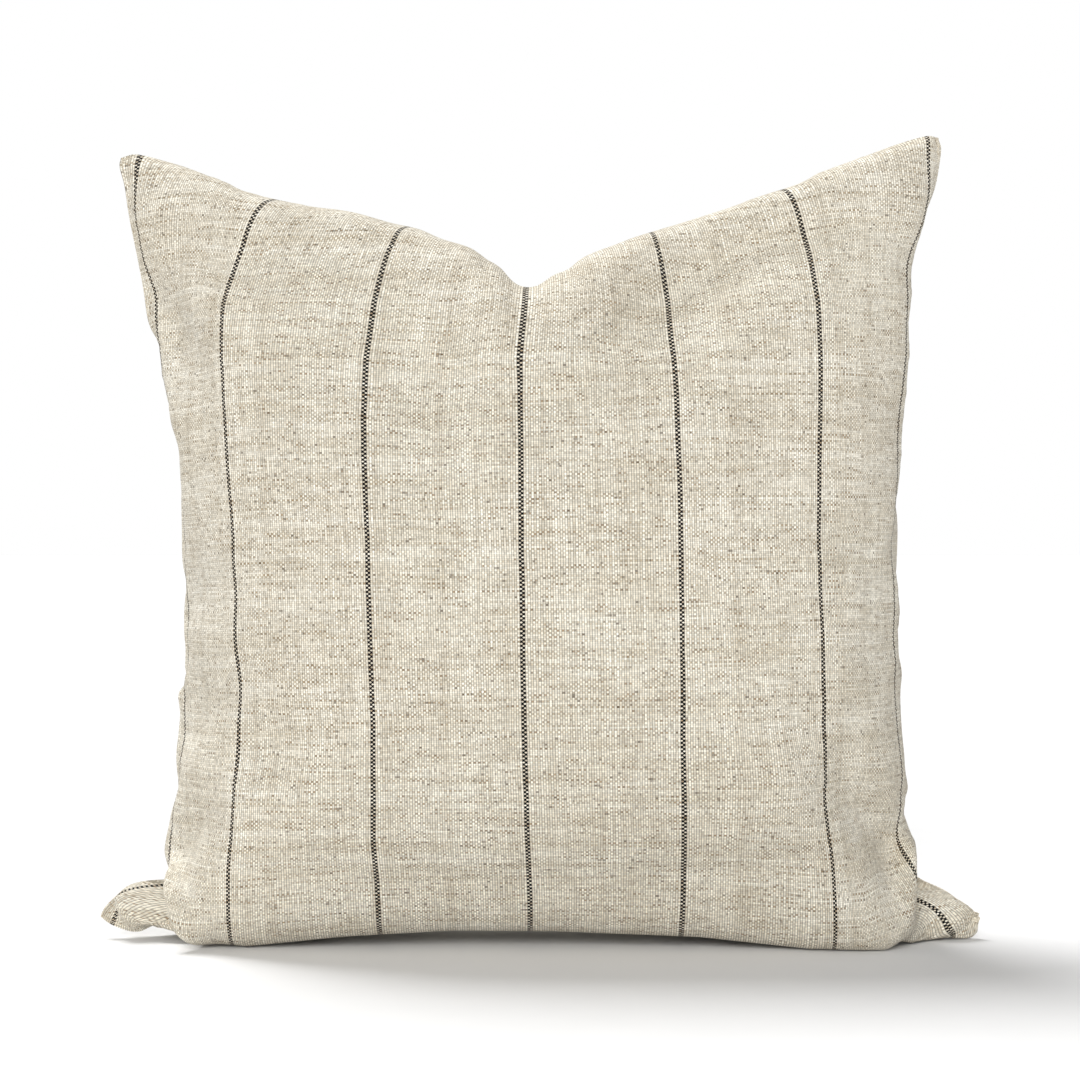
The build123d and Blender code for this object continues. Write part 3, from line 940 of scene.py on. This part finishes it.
def tube(name, path, radius, sides, closed, material, wave=0.0, pitch=1.0):
    """A thread along a path. Its radius swells and narrows by wave over each pitch."""
    path = np.asarray(path)
    tangent = np.gradient(path, axis=0)
    if closed:
        tangent = np.roll(path, -1, axis=0) - np.roll(path, 1, axis=0)
    tangent /= np.linalg.norm(tangent, axis=-1, keepdims=True) + 1e-12
    across = np.cross(tangent, (0.0, 1.0, 0.0))
    across /= np.linalg.norm(across, axis=-1, keepdims=True) + 1e-12
    other = np.cross(tangent, across)
    travelled = distances(path)
    size = radius * (1 - wave + wave * np.abs(np.sin(math.pi * travelled / pitch)))
    turn = np.arange(sides) * 2 * math.pi / sides
    ring = across[:, None] * np.cos(turn)[None, :, None] + other[:, None] * np.sin(turn)[None, :, None]
    points = path[:, None] + ring * size[:, None, None]
    numbers = np.arange(len(path) * sides).reshape(len(path), sides)
    following = np.roll(numbers, -1, axis=0) if closed else numbers[1:]
    current = numbers if closed else numbers[:-1]
    quads = np.stack(
        [current, np.roll(current, -1, axis=1), np.roll(following, -1, axis=1), following], axis=-1
    ).reshape(-1, 4)[:, ::-1]
    faces = quads.tolist()
    if not closed:
        faces.append(numbers[0].tolist())
        faces.append(numbers[-1][::-1].tolist())
    places = np.stack([np.repeat(travelled, sides), np.tile(turn * radius, len(path))], axis=-1)
    return surface(name, points.reshape(-1, 3), faces, places, material, crease=None)


def resampled(path, step):
    """The same line with its points an even step apart."""
    travelled = distances(path)
    places = np.linspace(0, travelled[-1], int(travelled[-1] / step) + 1)
    return np.stack([np.interp(places, travelled, path[:, axis]) for axis in range(3)], axis=-1)


# ---------------------------------------------------------------- materials

class Shader:
    """Short calls that add and join the nodes of one material."""

    def __init__(self, name, roughness=0.9, **constants):
        self.material = bpy.data.materials.new(name)
        self.material.use_nodes = True
        self.tree = self.material.node_tree
        self.surface = self.tree.nodes["Principled BSDF"]
        self.surface.inputs["Roughness"].default_value = roughness
        for socket, value in constants.items():
            self.surface.inputs[socket.replace("_", " ")].default_value = value

    def put(self, socket, value):
        """Links a node's output to a socket, or sets the socket to a number or colour."""
        if isinstance(value, bpy.types.NodeSocket):
            self.tree.links.new(value, socket)
        else:
            socket.default_value = value

    def math(self, operation, *values):
        """The output of a Math node."""
        node = self.tree.nodes.new("ShaderNodeMath")
        node.operation = operation
        for socket, value in zip(node.inputs, values):
            self.put(socket, value)
        return node.outputs[0]

    def times(self, first, second):
        return self.math("MULTIPLY", first, second)

    def times_plus(self, value, factor, more):
        """A value times a factor, and more added."""
        return self.math("MULTIPLY_ADD", value, factor, more)

    def plus(self, first, second):
        return self.math("ADD", first, second)

    def rest(self, share):
        """What a share leaves of one."""
        return self.math("SUBTRACT", 1.0, share)

    def wave(self, value):
        """Even ridges from 0 to 1 along a value."""
        return self.math("ABSOLUTE", self.math("SINE", value))

    def blend(self, share, first, second, how="MIX"):
        """A mix of two colours, from the first at 0 to the second at 1."""
        node = self.tree.nodes.new("ShaderNodeMix")
        node.data_type = "RGBA"
        node.blend_type = how
        for number, value in ((0, share), (6, first), (7, second)):
            self.put(node.inputs[number], value)
        return node.outputs[2]

    def darkened(self, base, tint):
        """A colour multiplied by another, or by a number."""
        if isinstance(tint, bpy.types.NodeSocket) and tint.type == "VALUE":
            tint = self.vector(tint, tint, tint)
        return self.blend(1.0, base, tint, "MULTIPLY")

    def range(self, value, low, high, new_low=0.0, new_high=1.0):
        """A smooth step from new_low, where value is low, to new_high, where it is high."""
        node = self.tree.nodes.new("ShaderNodeMapRange")
        node.interpolation_type = "SMOOTHSTEP"
        for socket, number in zip(node.inputs, (value, low, high, new_low, new_high)):
            self.put(socket, number)
        return node.outputs[0]

    def vector(self, x, y, z=0.0):
        """Three numbers as one vector."""
        node = self.tree.nodes.new("ShaderNodeCombineXYZ")
        for socket, value in zip(node.inputs, (x, y, z)):
            self.put(socket, value)
        return node.outputs[0]

    def scaled(self, x, x_scale, y, y_scale, z=0.0):
        """A place with its first two axes stretched."""
        return self.vector(self.times(x, x_scale), self.times(y, y_scale), z)

    def split(self, vector):
        """The three numbers of a vector."""
        node = self.tree.nodes.new("ShaderNodeSeparateXYZ")
        self.put(node.inputs[0], vector)
        return node.outputs[0], node.outputs[1], node.outputs[2]

    def pattern(self):
        """Flat pattern coordinates, in metres."""
        node = self.tree.nodes.new("ShaderNodeUVMap")
        node.uv_map = "pattern"
        return node.outputs[0]

    def place(self):
        """The piece's own coordinates, in metres."""
        return self.tree.nodes.new("ShaderNodeTexCoord").outputs["Object"]

    def noise(self, vector, scale, detail=2.0, roughness=0.5):
        """Smooth noise around 0.5."""
        node = self.tree.nodes.new("ShaderNodeTexNoise")
        self.put(node.inputs["Vector"], vector)
        node.inputs["Scale"].default_value = scale
        node.inputs["Detail"].default_value = detail
        node.inputs["Roughness"].default_value = roughness
        return node.outputs["Fac"]

    def grain(self, vector, detail=2.0):
        """Noise with features about one unit wide."""
        return self.noise(vector, 1.0, detail)

    def chance(self, vector):
        """An even random number from 0 to 1 for each whole-numbered place."""
        node = self.tree.nodes.new("ShaderNodeTexWhiteNoise")
        node.noise_dimensions = "3D"
        self.put(node.inputs["Vector"], vector)
        return node.outputs["Value"]

    def cells(self, vector, scale, feature="F1"):
        """The outputs of a pattern of uneven cells: Distance and, for F1, each cell's Color."""
        node = self.tree.nodes.new("ShaderNodeTexVoronoi")
        node.feature = feature
        self.put(node.inputs["Vector"], vector)
        node.inputs["Scale"].default_value = scale
        return node.outputs

    def finish(self, colour, height, depth, strength=0.6, roughness=None):
        """Joins colour and bump to the surface and gives the material back."""
        bump = self.tree.nodes.new("ShaderNodeBump")
        bump.inputs["Strength"].default_value = strength
        bump.inputs["Distance"].default_value = depth
        self.put(bump.inputs["Height"], height)
        self.put(self.surface.inputs["Normal"], bump.outputs[0])
        self.put(self.surface.inputs["Base Color"], colour)
        if roughness is not None:
            self.put(self.surface.inputs["Roughness"], roughness)
        return self.material


def colour(red, green, blue):
    """A colour from 0-255 screen values."""
    linear = []
    for value in (red, green, blue):
        share = value / 255
        linear.append(((share + 0.055) / 1.055) ** 2.4 if value > 10 else share / 12.92)
    return (*linear, 1.0)


def plain_weave(shader, u, v, warp, weft):
    """Thread numbers, which thread is on top, the height of the weave and of each warp thread."""
    across, up = shader.math("DIVIDE", u, warp), shader.math("DIVIDE", v, weft)
    column, row = shader.math("FLOOR", across), shader.math("FLOOR", up)
    both = shader.times(shader.plus(column, row), 0.5)
    warp_up = shader.math("GREATER_THAN", shader.math("FRACT", both), 0.25)
    rounds = []
    for place in (across, up):
        centred = shader.times_plus(shader.math("FRACT", place), 2.0, -1.0)
        rounds.append(shader.rest(shader.times(centred, centred)))
    height_warp = shader.times(rounds[0], shader.times_plus(rounds[1], 0.45, 0.55))
    height_weft = shader.times(rounds[1], shader.times_plus(rounds[0], 0.45, 0.55))
    height = shader.plus(
        shader.times(warp_up, height_warp), shader.times(shader.rest(warp_up), height_weft))
    return column, row, warp_up, height, rounds[0]


WHITE = (1.0, 1.0, 1.0, 1.0)
LINEN = {
    "warp_dark": colour(202, 195, 179),
    "warp_pale": colour(247, 244, 232),
    "weft_dark": colour(182, 169, 146),
    "weft_pale": colour(241, 236, 223),
    "slub": colour(142, 118, 86),
    "fleck": colour(70, 54, 34),
    "stripe": colour(9, 8, 8),
    "patch": (0.94, 0.93, 0.91, 1.0),
    "band": (0.92, 0.905, 0.88, 1.0),
}


def cover_material():
    """Oatmeal plain weave: pale warp lines, uneven tan weft with slubs and flecks, black pinstripes."""
    shader = Shader("linen_cover", Sheen_Weight=0.08, Sheen_Roughness=0.6, Specular_IOR_Level=0.2)
    u, v, _ = shader.split(shader.pattern())
    wander = shader.grain(shader.scaled(u, 60.0, v, 18.0))
    u = shader.plus(u, shader.times_plus(wander, 1.4 * MM, -0.7 * MM))
    u = shader.plus(u, STRIPE_THREADS / 2 * WARP - STRIPE_AT)
    sway = shader.grain(shader.scaled(u, 14.0, v, 50.0, 3.0))
    v = shader.plus(v, shader.times_plus(sway, 1.6 * MM, -0.8 * MM))
    column, row, warp_up, height, ridge = plain_weave(shader, u, v, WARP, WEFT)

    # Warp threads, each in its own tone
    thread = shader.chance(shader.vector(column, 0.5))
    along = shader.grain(shader.scaled(column, 3.7, v, 34.0), 3.0)
    warp_tone = shader.plus(shader.times(thread, 0.5), shader.times(shader.range(along, 0.3, 0.7), 0.5))
    warp_colour = shader.blend(warp_tone, LINEN["warp_dark"], LINEN["warp_pale"])

    # Weft threads with thick places and tan slubs
    pick = shader.chance(shader.vector(0.5, row, 4.0))
    slub = shader.grain(shader.scaled(u, 46.0, row, 2.9, 8.0), 3.0)
    weft_tone = shader.plus(shader.times(pick, 0.4), shader.times(shader.range(slub, 0.35, 0.65), 0.6))
    weft_colour = shader.blend(weft_tone, LINEN["weft_dark"], LINEN["weft_pale"])
    streak = shader.grain(shader.scaled(u, 85.0, row, 5.3, 18.0))
    weft_colour = shader.blend(shader.range(streak, 0.54, 0.68, 0.0, 0.75), weft_colour, LINEN["slub"])

    # Black threads of the stripes, with dark gaps between them
    repeat = shader.math("FRACT", shader.math("DIVIDE", shader.plus(column, 0.5), STRIPE_REPEAT))
    stripe = shader.math("LESS_THAN", repeat, STRIPE_THREADS / STRIPE_REPEAT)
    warp_colour = shader.blend(stripe, warp_colour, LINEN["stripe"])
    gap = shader.math("LESS_THAN", height, 0.42)
    weft_colour = shader.blend(shader.times(stripe, gap), weft_colour, LINEN["stripe"])
    base = shader.blend(warp_up, weft_colour, warp_colour)

    # Uneven threads, and the shadow between them
    uneven = shader.chance(shader.vector(column, row, 30.0))
    base = shader.darkened(base, shader.times_plus(uneven, 0.34, 0.80))
    lines = shader.times_plus(shader.range(ridge, 0.0, 0.95), 0.52, 0.60)
    shade = shader.times_plus(shader.range(height, 0.0, 0.7), 0.34, 0.70)
    base = shader.darkened(base, shader.times(lines, shade))

    # Dark flecks of husk, one thread wide or drawn out along the weft
    cell = shader.chance(shader.vector(column, row, 9.0))
    speck = shader.grain(shader.scaled(u, 300.0, row, 7.7, 27.0), 1.0)
    short_fleck = shader.range(speck, 0.65, 0.76, 0.0, 0.9)
    flecks = shader.math("MAXIMUM", shader.math("GREATER_THAN", cell, 0.9962), short_fleck)
    flecks = shader.times(shader.times(flecks, shader.rest(stripe)), 0.66)
    base = shader.blend(flecks, base, LINEN["fleck"])

    # Slow changes of tone over the cloth
    patch = shader.range(shader.noise(shader.pattern(), 26.0, 4.0, 0.6), 0.30, 0.70)
    base = shader.darkened(base, shader.blend(patch, LINEN["patch"], WHITE))
    band = shader.range(shader.grain(shader.scaled(u, 7.0, v, 120.0, 5.0), 3.0), 0.32, 0.68)
    base = shader.darkened(base, shader.blend(band, LINEN["band"], WHITE))

    relief = shader.times(height, shader.times_plus(shader.range(slub, 0.5, 0.8), 0.5, 0.8))
    return shader.finish(base, relief, 0.35 * MM, 0.55, shader.times_plus(cell, 0.12, 0.84))


def twisted(shader, turns, scale, dark, pale, depth):
    """Finishes a thread whose strands are the ridges along turns, with painted shade in the grooves
    between them.
    """
    fuzz = shader.noise(shader.place(), scale, 3.0)
    # Colour runs from dark to pale along the strand wave that is also the bump: painted shade in the
    # grooves between strands, varied by the fuzz.
    tone = shader.times(shader.wave(turns), shader.times_plus(fuzz, 0.5, 0.7))
    base = shader.blend(tone, dark, pale)
    return shader.finish(base, tone, depth, 0.7, shader.times_plus(fuzz, 0.3, 0.5))


def thread_material():
    """Twisted polyester thread."""
    shader = Shader("sewing_thread", Sheen_Weight=0.3)
    along, around, _ = shader.split(shader.pattern())
    turns = shader.plus(shader.times(along, 2600.0), shader.times(around, 3300.0))
    return twisted(shader, turns, 2500.0, colour(168, 154, 130), colour(232, 222, 202), 0.1 * MM)


def stitch_material():
    """Thread on carried-over stitches, which have no pattern coordinates."""
    shader = Shader("zipper_stitching", Sheen_Weight=0.3)
    x, y, z = shader.split(shader.place())
    turns = shader.plus(shader.times(x, 4200.0), shader.times(shader.plus(y, z), 3600.0))
    return twisted(shader, turns, 2600.0, colour(160, 146, 122), colour(228, 217, 196), 0.12 * MM)


def tape_material():
    """Herringbone zipper tape with a closer edge."""
    shader = Shader("zipper_tape", Sheen_Weight=0.2, Specular_IOR_Level=0.3)
    x, y, _ = shader.split(shader.place())
    from_middle = shader.math("ABSOLUTE", y)
    zigzag = shader.math("PINGPONG", from_middle, 1.6 * MM)
    diagonal = shader.plus(shader.times(x, 1200.0), shader.times(zigzag, 1300.0))
    rib = shader.wave(shader.times(diagonal, 3.1))
    picks = shader.wave(shader.times(from_middle, 7400.0))
    weave = shader.times(rib, shader.times_plus(picks, 0.4, 0.6))
    fuzz = shader.noise(shader.place(), 900.0, 4.0)
    # The herringbone ribs take their colour from their own relief, pale on top and dark in the grooves:
    # painted shade, mixed with the random fuzz.
    tone = shader.times_plus(fuzz, 0.35, shader.times(weave, 0.65))
    base = shader.blend(tone, colour(172, 160, 136), colour(229, 220, 202))
    wear = shader.range(from_middle, 2 * MM, 4 * MM)
    base = shader.blend(wear, colour(196, 184, 160), base)
    return shader.finish(base, weave, 0.15 * MM, 0.6, shader.times_plus(fuzz, 0.2, 0.72))


def teeth_material():
    """Moulded nylon teeth, a little darker and smoother along the middle of the chain."""
    shader = Shader("zipper_teeth", Specular_IOR_Level=0.5, Coat_Weight=0.15, Coat_Roughness=0.3)
    x, y, z = shader.split(shader.place())
    mould = shader.noise(shader.place(), 1800.0, 4.0)
    # Darker and smoother towards the middle of the chain, where the two rows of teeth meet.
    away_from_middle = shader.range(shader.math("ABSOLUTE", y), 0.8 * MM, 2.4 * MM)
    streak = shader.grain(shader.scaled(x, 90.0, y, 2600.0, z), 3.0)
    tone = shader.times_plus(away_from_middle, 0.5, shader.times(mould, 0.5))
    base = shader.blend(tone, colour(176, 164, 140), colour(224, 215, 196))
    base = shader.blend(shader.times(streak, 0.3), base, colour(150, 136, 110))
    rough = shader.times_plus(away_from_middle, 0.22, shader.times_plus(mould, 0.2, 0.2))
    return shader.finish(base, mould, 0.05 * MM, 0.4, rough)


def metal_material():
    """Antique brass: bright brushed high faces, brown hollows and fine scratches."""
    shader = Shader("zipper_metal", Metallic=1.0, Specular_IOR_Level=0.5)
    x, y, z = shader.split(shader.place())
    tarnish = shader.noise(shader.place(), 380.0, 5.0, 0.65)
    brushed = shader.grain(shader.scaled(x, 160.0, y, 5200.0, shader.times(z, 5200.0)), 3.0)
    spot = shader.scaled(x, 240.0, y, 2200.0, shader.times(z, 900.0))
    lines = shader.cells(spot, 1.0, "DISTANCE_TO_EDGE")
    scratch = shader.range(lines["Distance"], 0.0, 0.03, 1.0, 0.0)
    edge = shader.tree.nodes.new("ShaderNodeNewGeometry").outputs["Pointiness"]
    worn = shader.range(edge, 0.50, 0.56)
    base = shader.blend(shader.range(tarnish, 0.35, 0.65), colour(92, 72, 44), colour(176, 148, 98))
    base = shader.blend(shader.times(worn, 0.7), base, colour(222, 198, 146))
    base = shader.blend(shader.times(scratch, 0.35), base, colour(226, 204, 156))
    rough = shader.times_plus(tarnish, 0.25, shader.times_plus(brushed, 0.15, 0.16))
    relief = shader.math("SUBTRACT", shader.times(brushed, 0.6), shader.times(scratch, 0.4))
    return shader.finish(base, relief, 0.03 * MM, 0.35, rough)


def ticking_material():
    """Closely woven white cotton of the insert, with painted shade along its creases."""
    shader = Shader("insert_ticking", Sheen_Weight=0.15, Specular_IOR_Level=0.3)
    u, v, _ = shader.split(shader.pattern())
    column, row, _, height, _ = plain_weave(shader, u, v, 0.42 * MM, 0.46 * MM)
    tone = shader.chance(shader.vector(column, row, 2.0))
    slub = shader.grain(shader.scaled(u, 60.0, row, 1.7), 3.0)
    mixed = shader.times_plus(tone, 0.4, shader.times(slub, 0.6))
    base = shader.blend(mixed, colour(226, 223, 216), colour(250, 248, 243))
    # Painted crease shade: where the crease noise that also drives the bump is high, the cloth is
    # darkened; pale is the share of that shade.
    creases = shader.noise(shader.pattern(), 34.0, 5.0, 0.6)
    pale = shader.times(shader.range(creases, 0.55, 0.75), 0.35)
    base = shader.blend(pale, base, colour(214, 210, 200))
    relief = shader.times_plus(creases, 2.0, shader.times(height, 0.4))
    return shader.finish(base, relief, 0.4 * MM, 0.5, shader.times_plus(tone, 0.1, 0.8))


def feather_material():
    """Packed small feathers: overlapping vanes of pale down, with painted shade in the gaps between
    them.
    """
    shader = Shader("feathers", Sheen_Weight=0.5, Sheen_Roughness=0.5, Specular_IOR_Level=0.2)
    x, y, z = shader.split(shader.place())
    turn = shader.noise(shader.place(), 40.0, 2.0)
    tilted = shader.vector(
        shader.times_plus(turn, 0.05, x), y, shader.times(shader.times_plus(turn, -0.05, z), 0.45))
    vanes = shader.cells(tilted, 85.0)
    edge = shader.cells(tilted, 85.0, "DISTANCE_TO_EDGE")["Distance"]
    barbs = shader.grain(shader.scaled(x, 900.0, y, 900.0, shader.times(z, 160.0)), 4.0)
    red, _, _ = shader.split(vanes["Color"])
    base = shader.blend(red, colour(222, 214, 200), colour(249, 246, 240))
    # Darker along the edges between the vanes, where their relief is lowest: painted shade in the gaps.
    base = shader.blend(shader.range(edge, 0.0, 0.08, 0.55, 0.0), base, colour(168, 156, 138))
    base = shader.blend(shader.times(shader.range(barbs, 0.45, 0.7), 0.3), base, colour(190, 180, 162))
    relief = shader.times_plus(barbs, 0.4, shader.rest(vanes["Distance"]))
    return shader.finish(base, relief, 1.2 * MM, 0.8, shader.times_plus(barbs, 0.15, 0.8))


def floor_material():
    """Plain pale studio surface."""
    shader = Shader("studio_floor", roughness=0.95, Specular_IOR_Level=0.1)
    grain = shader.noise(shader.place(), 30.0, 3.0)
    base = shader.blend(grain, (0.75, 0.75, 0.75, 1.0), (0.77, 0.77, 0.77, 1.0))
    return shader.finish(base, grain, 0.1 * MM, 0.1)


# ---------------------------------------------------------------- pieces

def declare(piece, node):
    """Attaches a fixed piece to the root body and hides the CAD node that it stands for."""
    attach(piece, "root")
    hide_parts(node)


def place_cover(front, back):
    """The two cover panels and the thread that joins them."""
    material = cover_material()
    for side, name in ((-1, "front"), (1, "back")):
        panel = sewn_panel(
            f"cover_panel_{name}", front, back, side, CLOTH, ALLOWANCE, SEAM_RIM, 1.0, material)
        declare(panel, f"cover_{name}")
    seam, inward, backward = seam_frame(front, back, 4)
    flat = flat_grid(front.shape[0])
    rows, columns = ring_of(front.shape[0])
    ring = flat[rows, columns]
    count = front.shape[0] - 1
    first = np.argmax((ring[:, 0] > SLOT_HALF + SLOT_FADE) & (np.arange(len(ring)) < count))
    last = len(ring) + int(np.argmax(ring[:, 0] > -SLOT_HALF - SLOT_FADE)) - 1
    run = np.arange(first, last) % len(ring)
    along = smooth(from_corner(ring) / TRIM_REACH)[:, None]
    inset = STITCH_CORNER + (STITCH_INSET - STITCH_CORNER) * along
    thread = thread_material()
    for side, name in ((-1, "front"), (1, "back")):
        path = seam + inward * inset + backward * side * (CLOTH + THREAD_LIFT)
        path = resampled(path[run], THREAD_STEP)
        stitching = (path, THREAD_RADIUS, 6, False, thread, STITCH_SWELL, STITCH_LENGTH)
        piece = tube(f"seam_stitches_{name}", *stitching)
        declare(piece, f"seam_thread_{name}")


def place_insert(front, back):
    """The feather insert: two ticking panels, the piping in their seam, and the feathers."""
    ticking = ticking_material()
    face, rear = insert_panels(front, back, CLOTH + INSERT_GAP)
    for side, name in ((-1, "front"), (1, "back")):
        panel = sewn_panel(
            f"insert_panel_{name}", face, rear, side, TICKING, INSERT_ALLOWANCE, INSERT_RIM, 0.0,
            ticking)
        declare(panel, f"insert_shell_{name}")
    seam, inward, _ = seam_frame(face, rear, 2)
    cord = tube("insert_cording", seam - inward * PIPING_OUT, PIPING_RADIUS, 8, True, ticking)
    declare(cord, "insert_piping")
    face, rear = joined(*insert_panels(front, back, CLOTH + INSERT_GAP + TICKING + FILL_GAP))
    count = face.shape[0]
    rows, columns = ring_of(count)
    numbers = np.arange(count * count).reshape(count, count)
    rear_numbers = numbers + count * count
    rear_numbers[rows, columns] = numbers[rows, columns]
    faces = np.concatenate([grid_faces(numbers), grid_faces(rear_numbers)[:, ::-1]])
    points = np.concatenate([face.reshape(-1, 3), rear.reshape(-1, 3)])
    used, faces = np.unique(faces, return_inverse=True)
    places = np.tile(flat_grid(count).reshape(-1, 2), (2, 1))
    faces = faces.reshape(-1, 4).tolist()
    feathers = surface("feather_filling", points[used], faces, places[used], feather_material())
    declare(feathers, "feather_fill")


def dress_zipper(nodes):
    """Materials for the zipper parts that are shown as the CAD made them."""
    tape, teeth = tape_material(), teeth_material()
    metal, stitches = metal_material(), stitch_material()
    finishes = {
        "zipper_tape_front": tape,
        "zipper_tape_back": tape,
        "zipper_teeth_front": teeth,
        "zipper_teeth_back": teeth,
        "zipper_top_stops": metal,
        "zipper_bottom_stop": metal,
        "zipper_stitching": stitches,
        "zipper_slider": metal,
        "zipper_pull": metal,
    }
    for name, material in finishes.items():
        node = nodes[name]
        if not node.material_slots:
            node.data.materials.append(material)
        for material_slot in node.material_slots:
            material_slot.material = material


def place_stage():
    """A plain pale floor."""
    mesh = bpy.data.meshes.new("studio_floor")
    mesh.from_pydata(level_square(FLOOR_REACH), [], [(0, 1, 2, 3)])
    mesh.materials.append(floor_material())
    linked("studio_floor", mesh)


def broad_light(name, towards, softness, strength):
    """A very wide, even light from one side of the studio."""
    lamp = bpy.data.lights.new(name, "SUN")
    lamp.energy = strength
    lamp.angle = math.radians(softness)
    piece = linked(name, lamp)
    piece.rotation_euler = Vector(towards).to_track_quat("-Z", "Y").to_euler()


def place_lights_and_camera():
    """Soft key from the upper left, a top light from behind, and an even white surround."""
    broad_light("key", (0.16, 1.0, -0.52), 34, 1.50)
    broad_light("fill", (0.0, 1.0, -0.12), 40, 0.66)
    broad_light("top", (0.38, -0.38, -1.0), 28, 3.0)
    world = bpy.data.worlds.new("surround")
    world.use_nodes = True
    tree = world.node_tree
    ambient = tree.nodes["Background"]
    ambient.inputs["Strength"].default_value = 0.33
    ambient.inputs["Color"].default_value = (1.0, 1.0, 1.0, 1.0)
    white = tree.nodes.new("ShaderNodeBackground")
    white.inputs["Color"].default_value = (1.0, 1.0, 1.0, 1.0)
    seen = tree.nodes.new("ShaderNodeLightPath")
    either = tree.nodes.new("ShaderNodeMixShader")
    tree.links.new(seen.outputs["Is Camera Ray"], either.inputs[0])
    tree.links.new(ambient.outputs[0], either.inputs[1])
    tree.links.new(white.outputs[0], either.inputs[2])
    tree.links.new(either.outputs[0], tree.nodes["World Output"].inputs["Surface"])
    scene = bpy.context.scene
    scene.world = world
    scene.view_settings.view_transform = "Standard"
    lens = bpy.data.cameras.new("camera")
    lens.angle = 2 * math.atan(VIEW_WIDTH / 2 / EYE_DISTANCE)
    camera = linked("camera", lens)
    camera.location = (0, -EYE_DISTANCE, EYE_HEIGHT)
    camera.rotation_euler = (math.pi / 2, 0, 0)
    scene.camera = camera


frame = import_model()
front_grid, back_grid = finished_panels()
place_cover(front_grid, back_grid)
place_insert(front_grid, back_grid)
dress_zipper(frame["nodes"])
place_stage()
place_lights_and_camera()
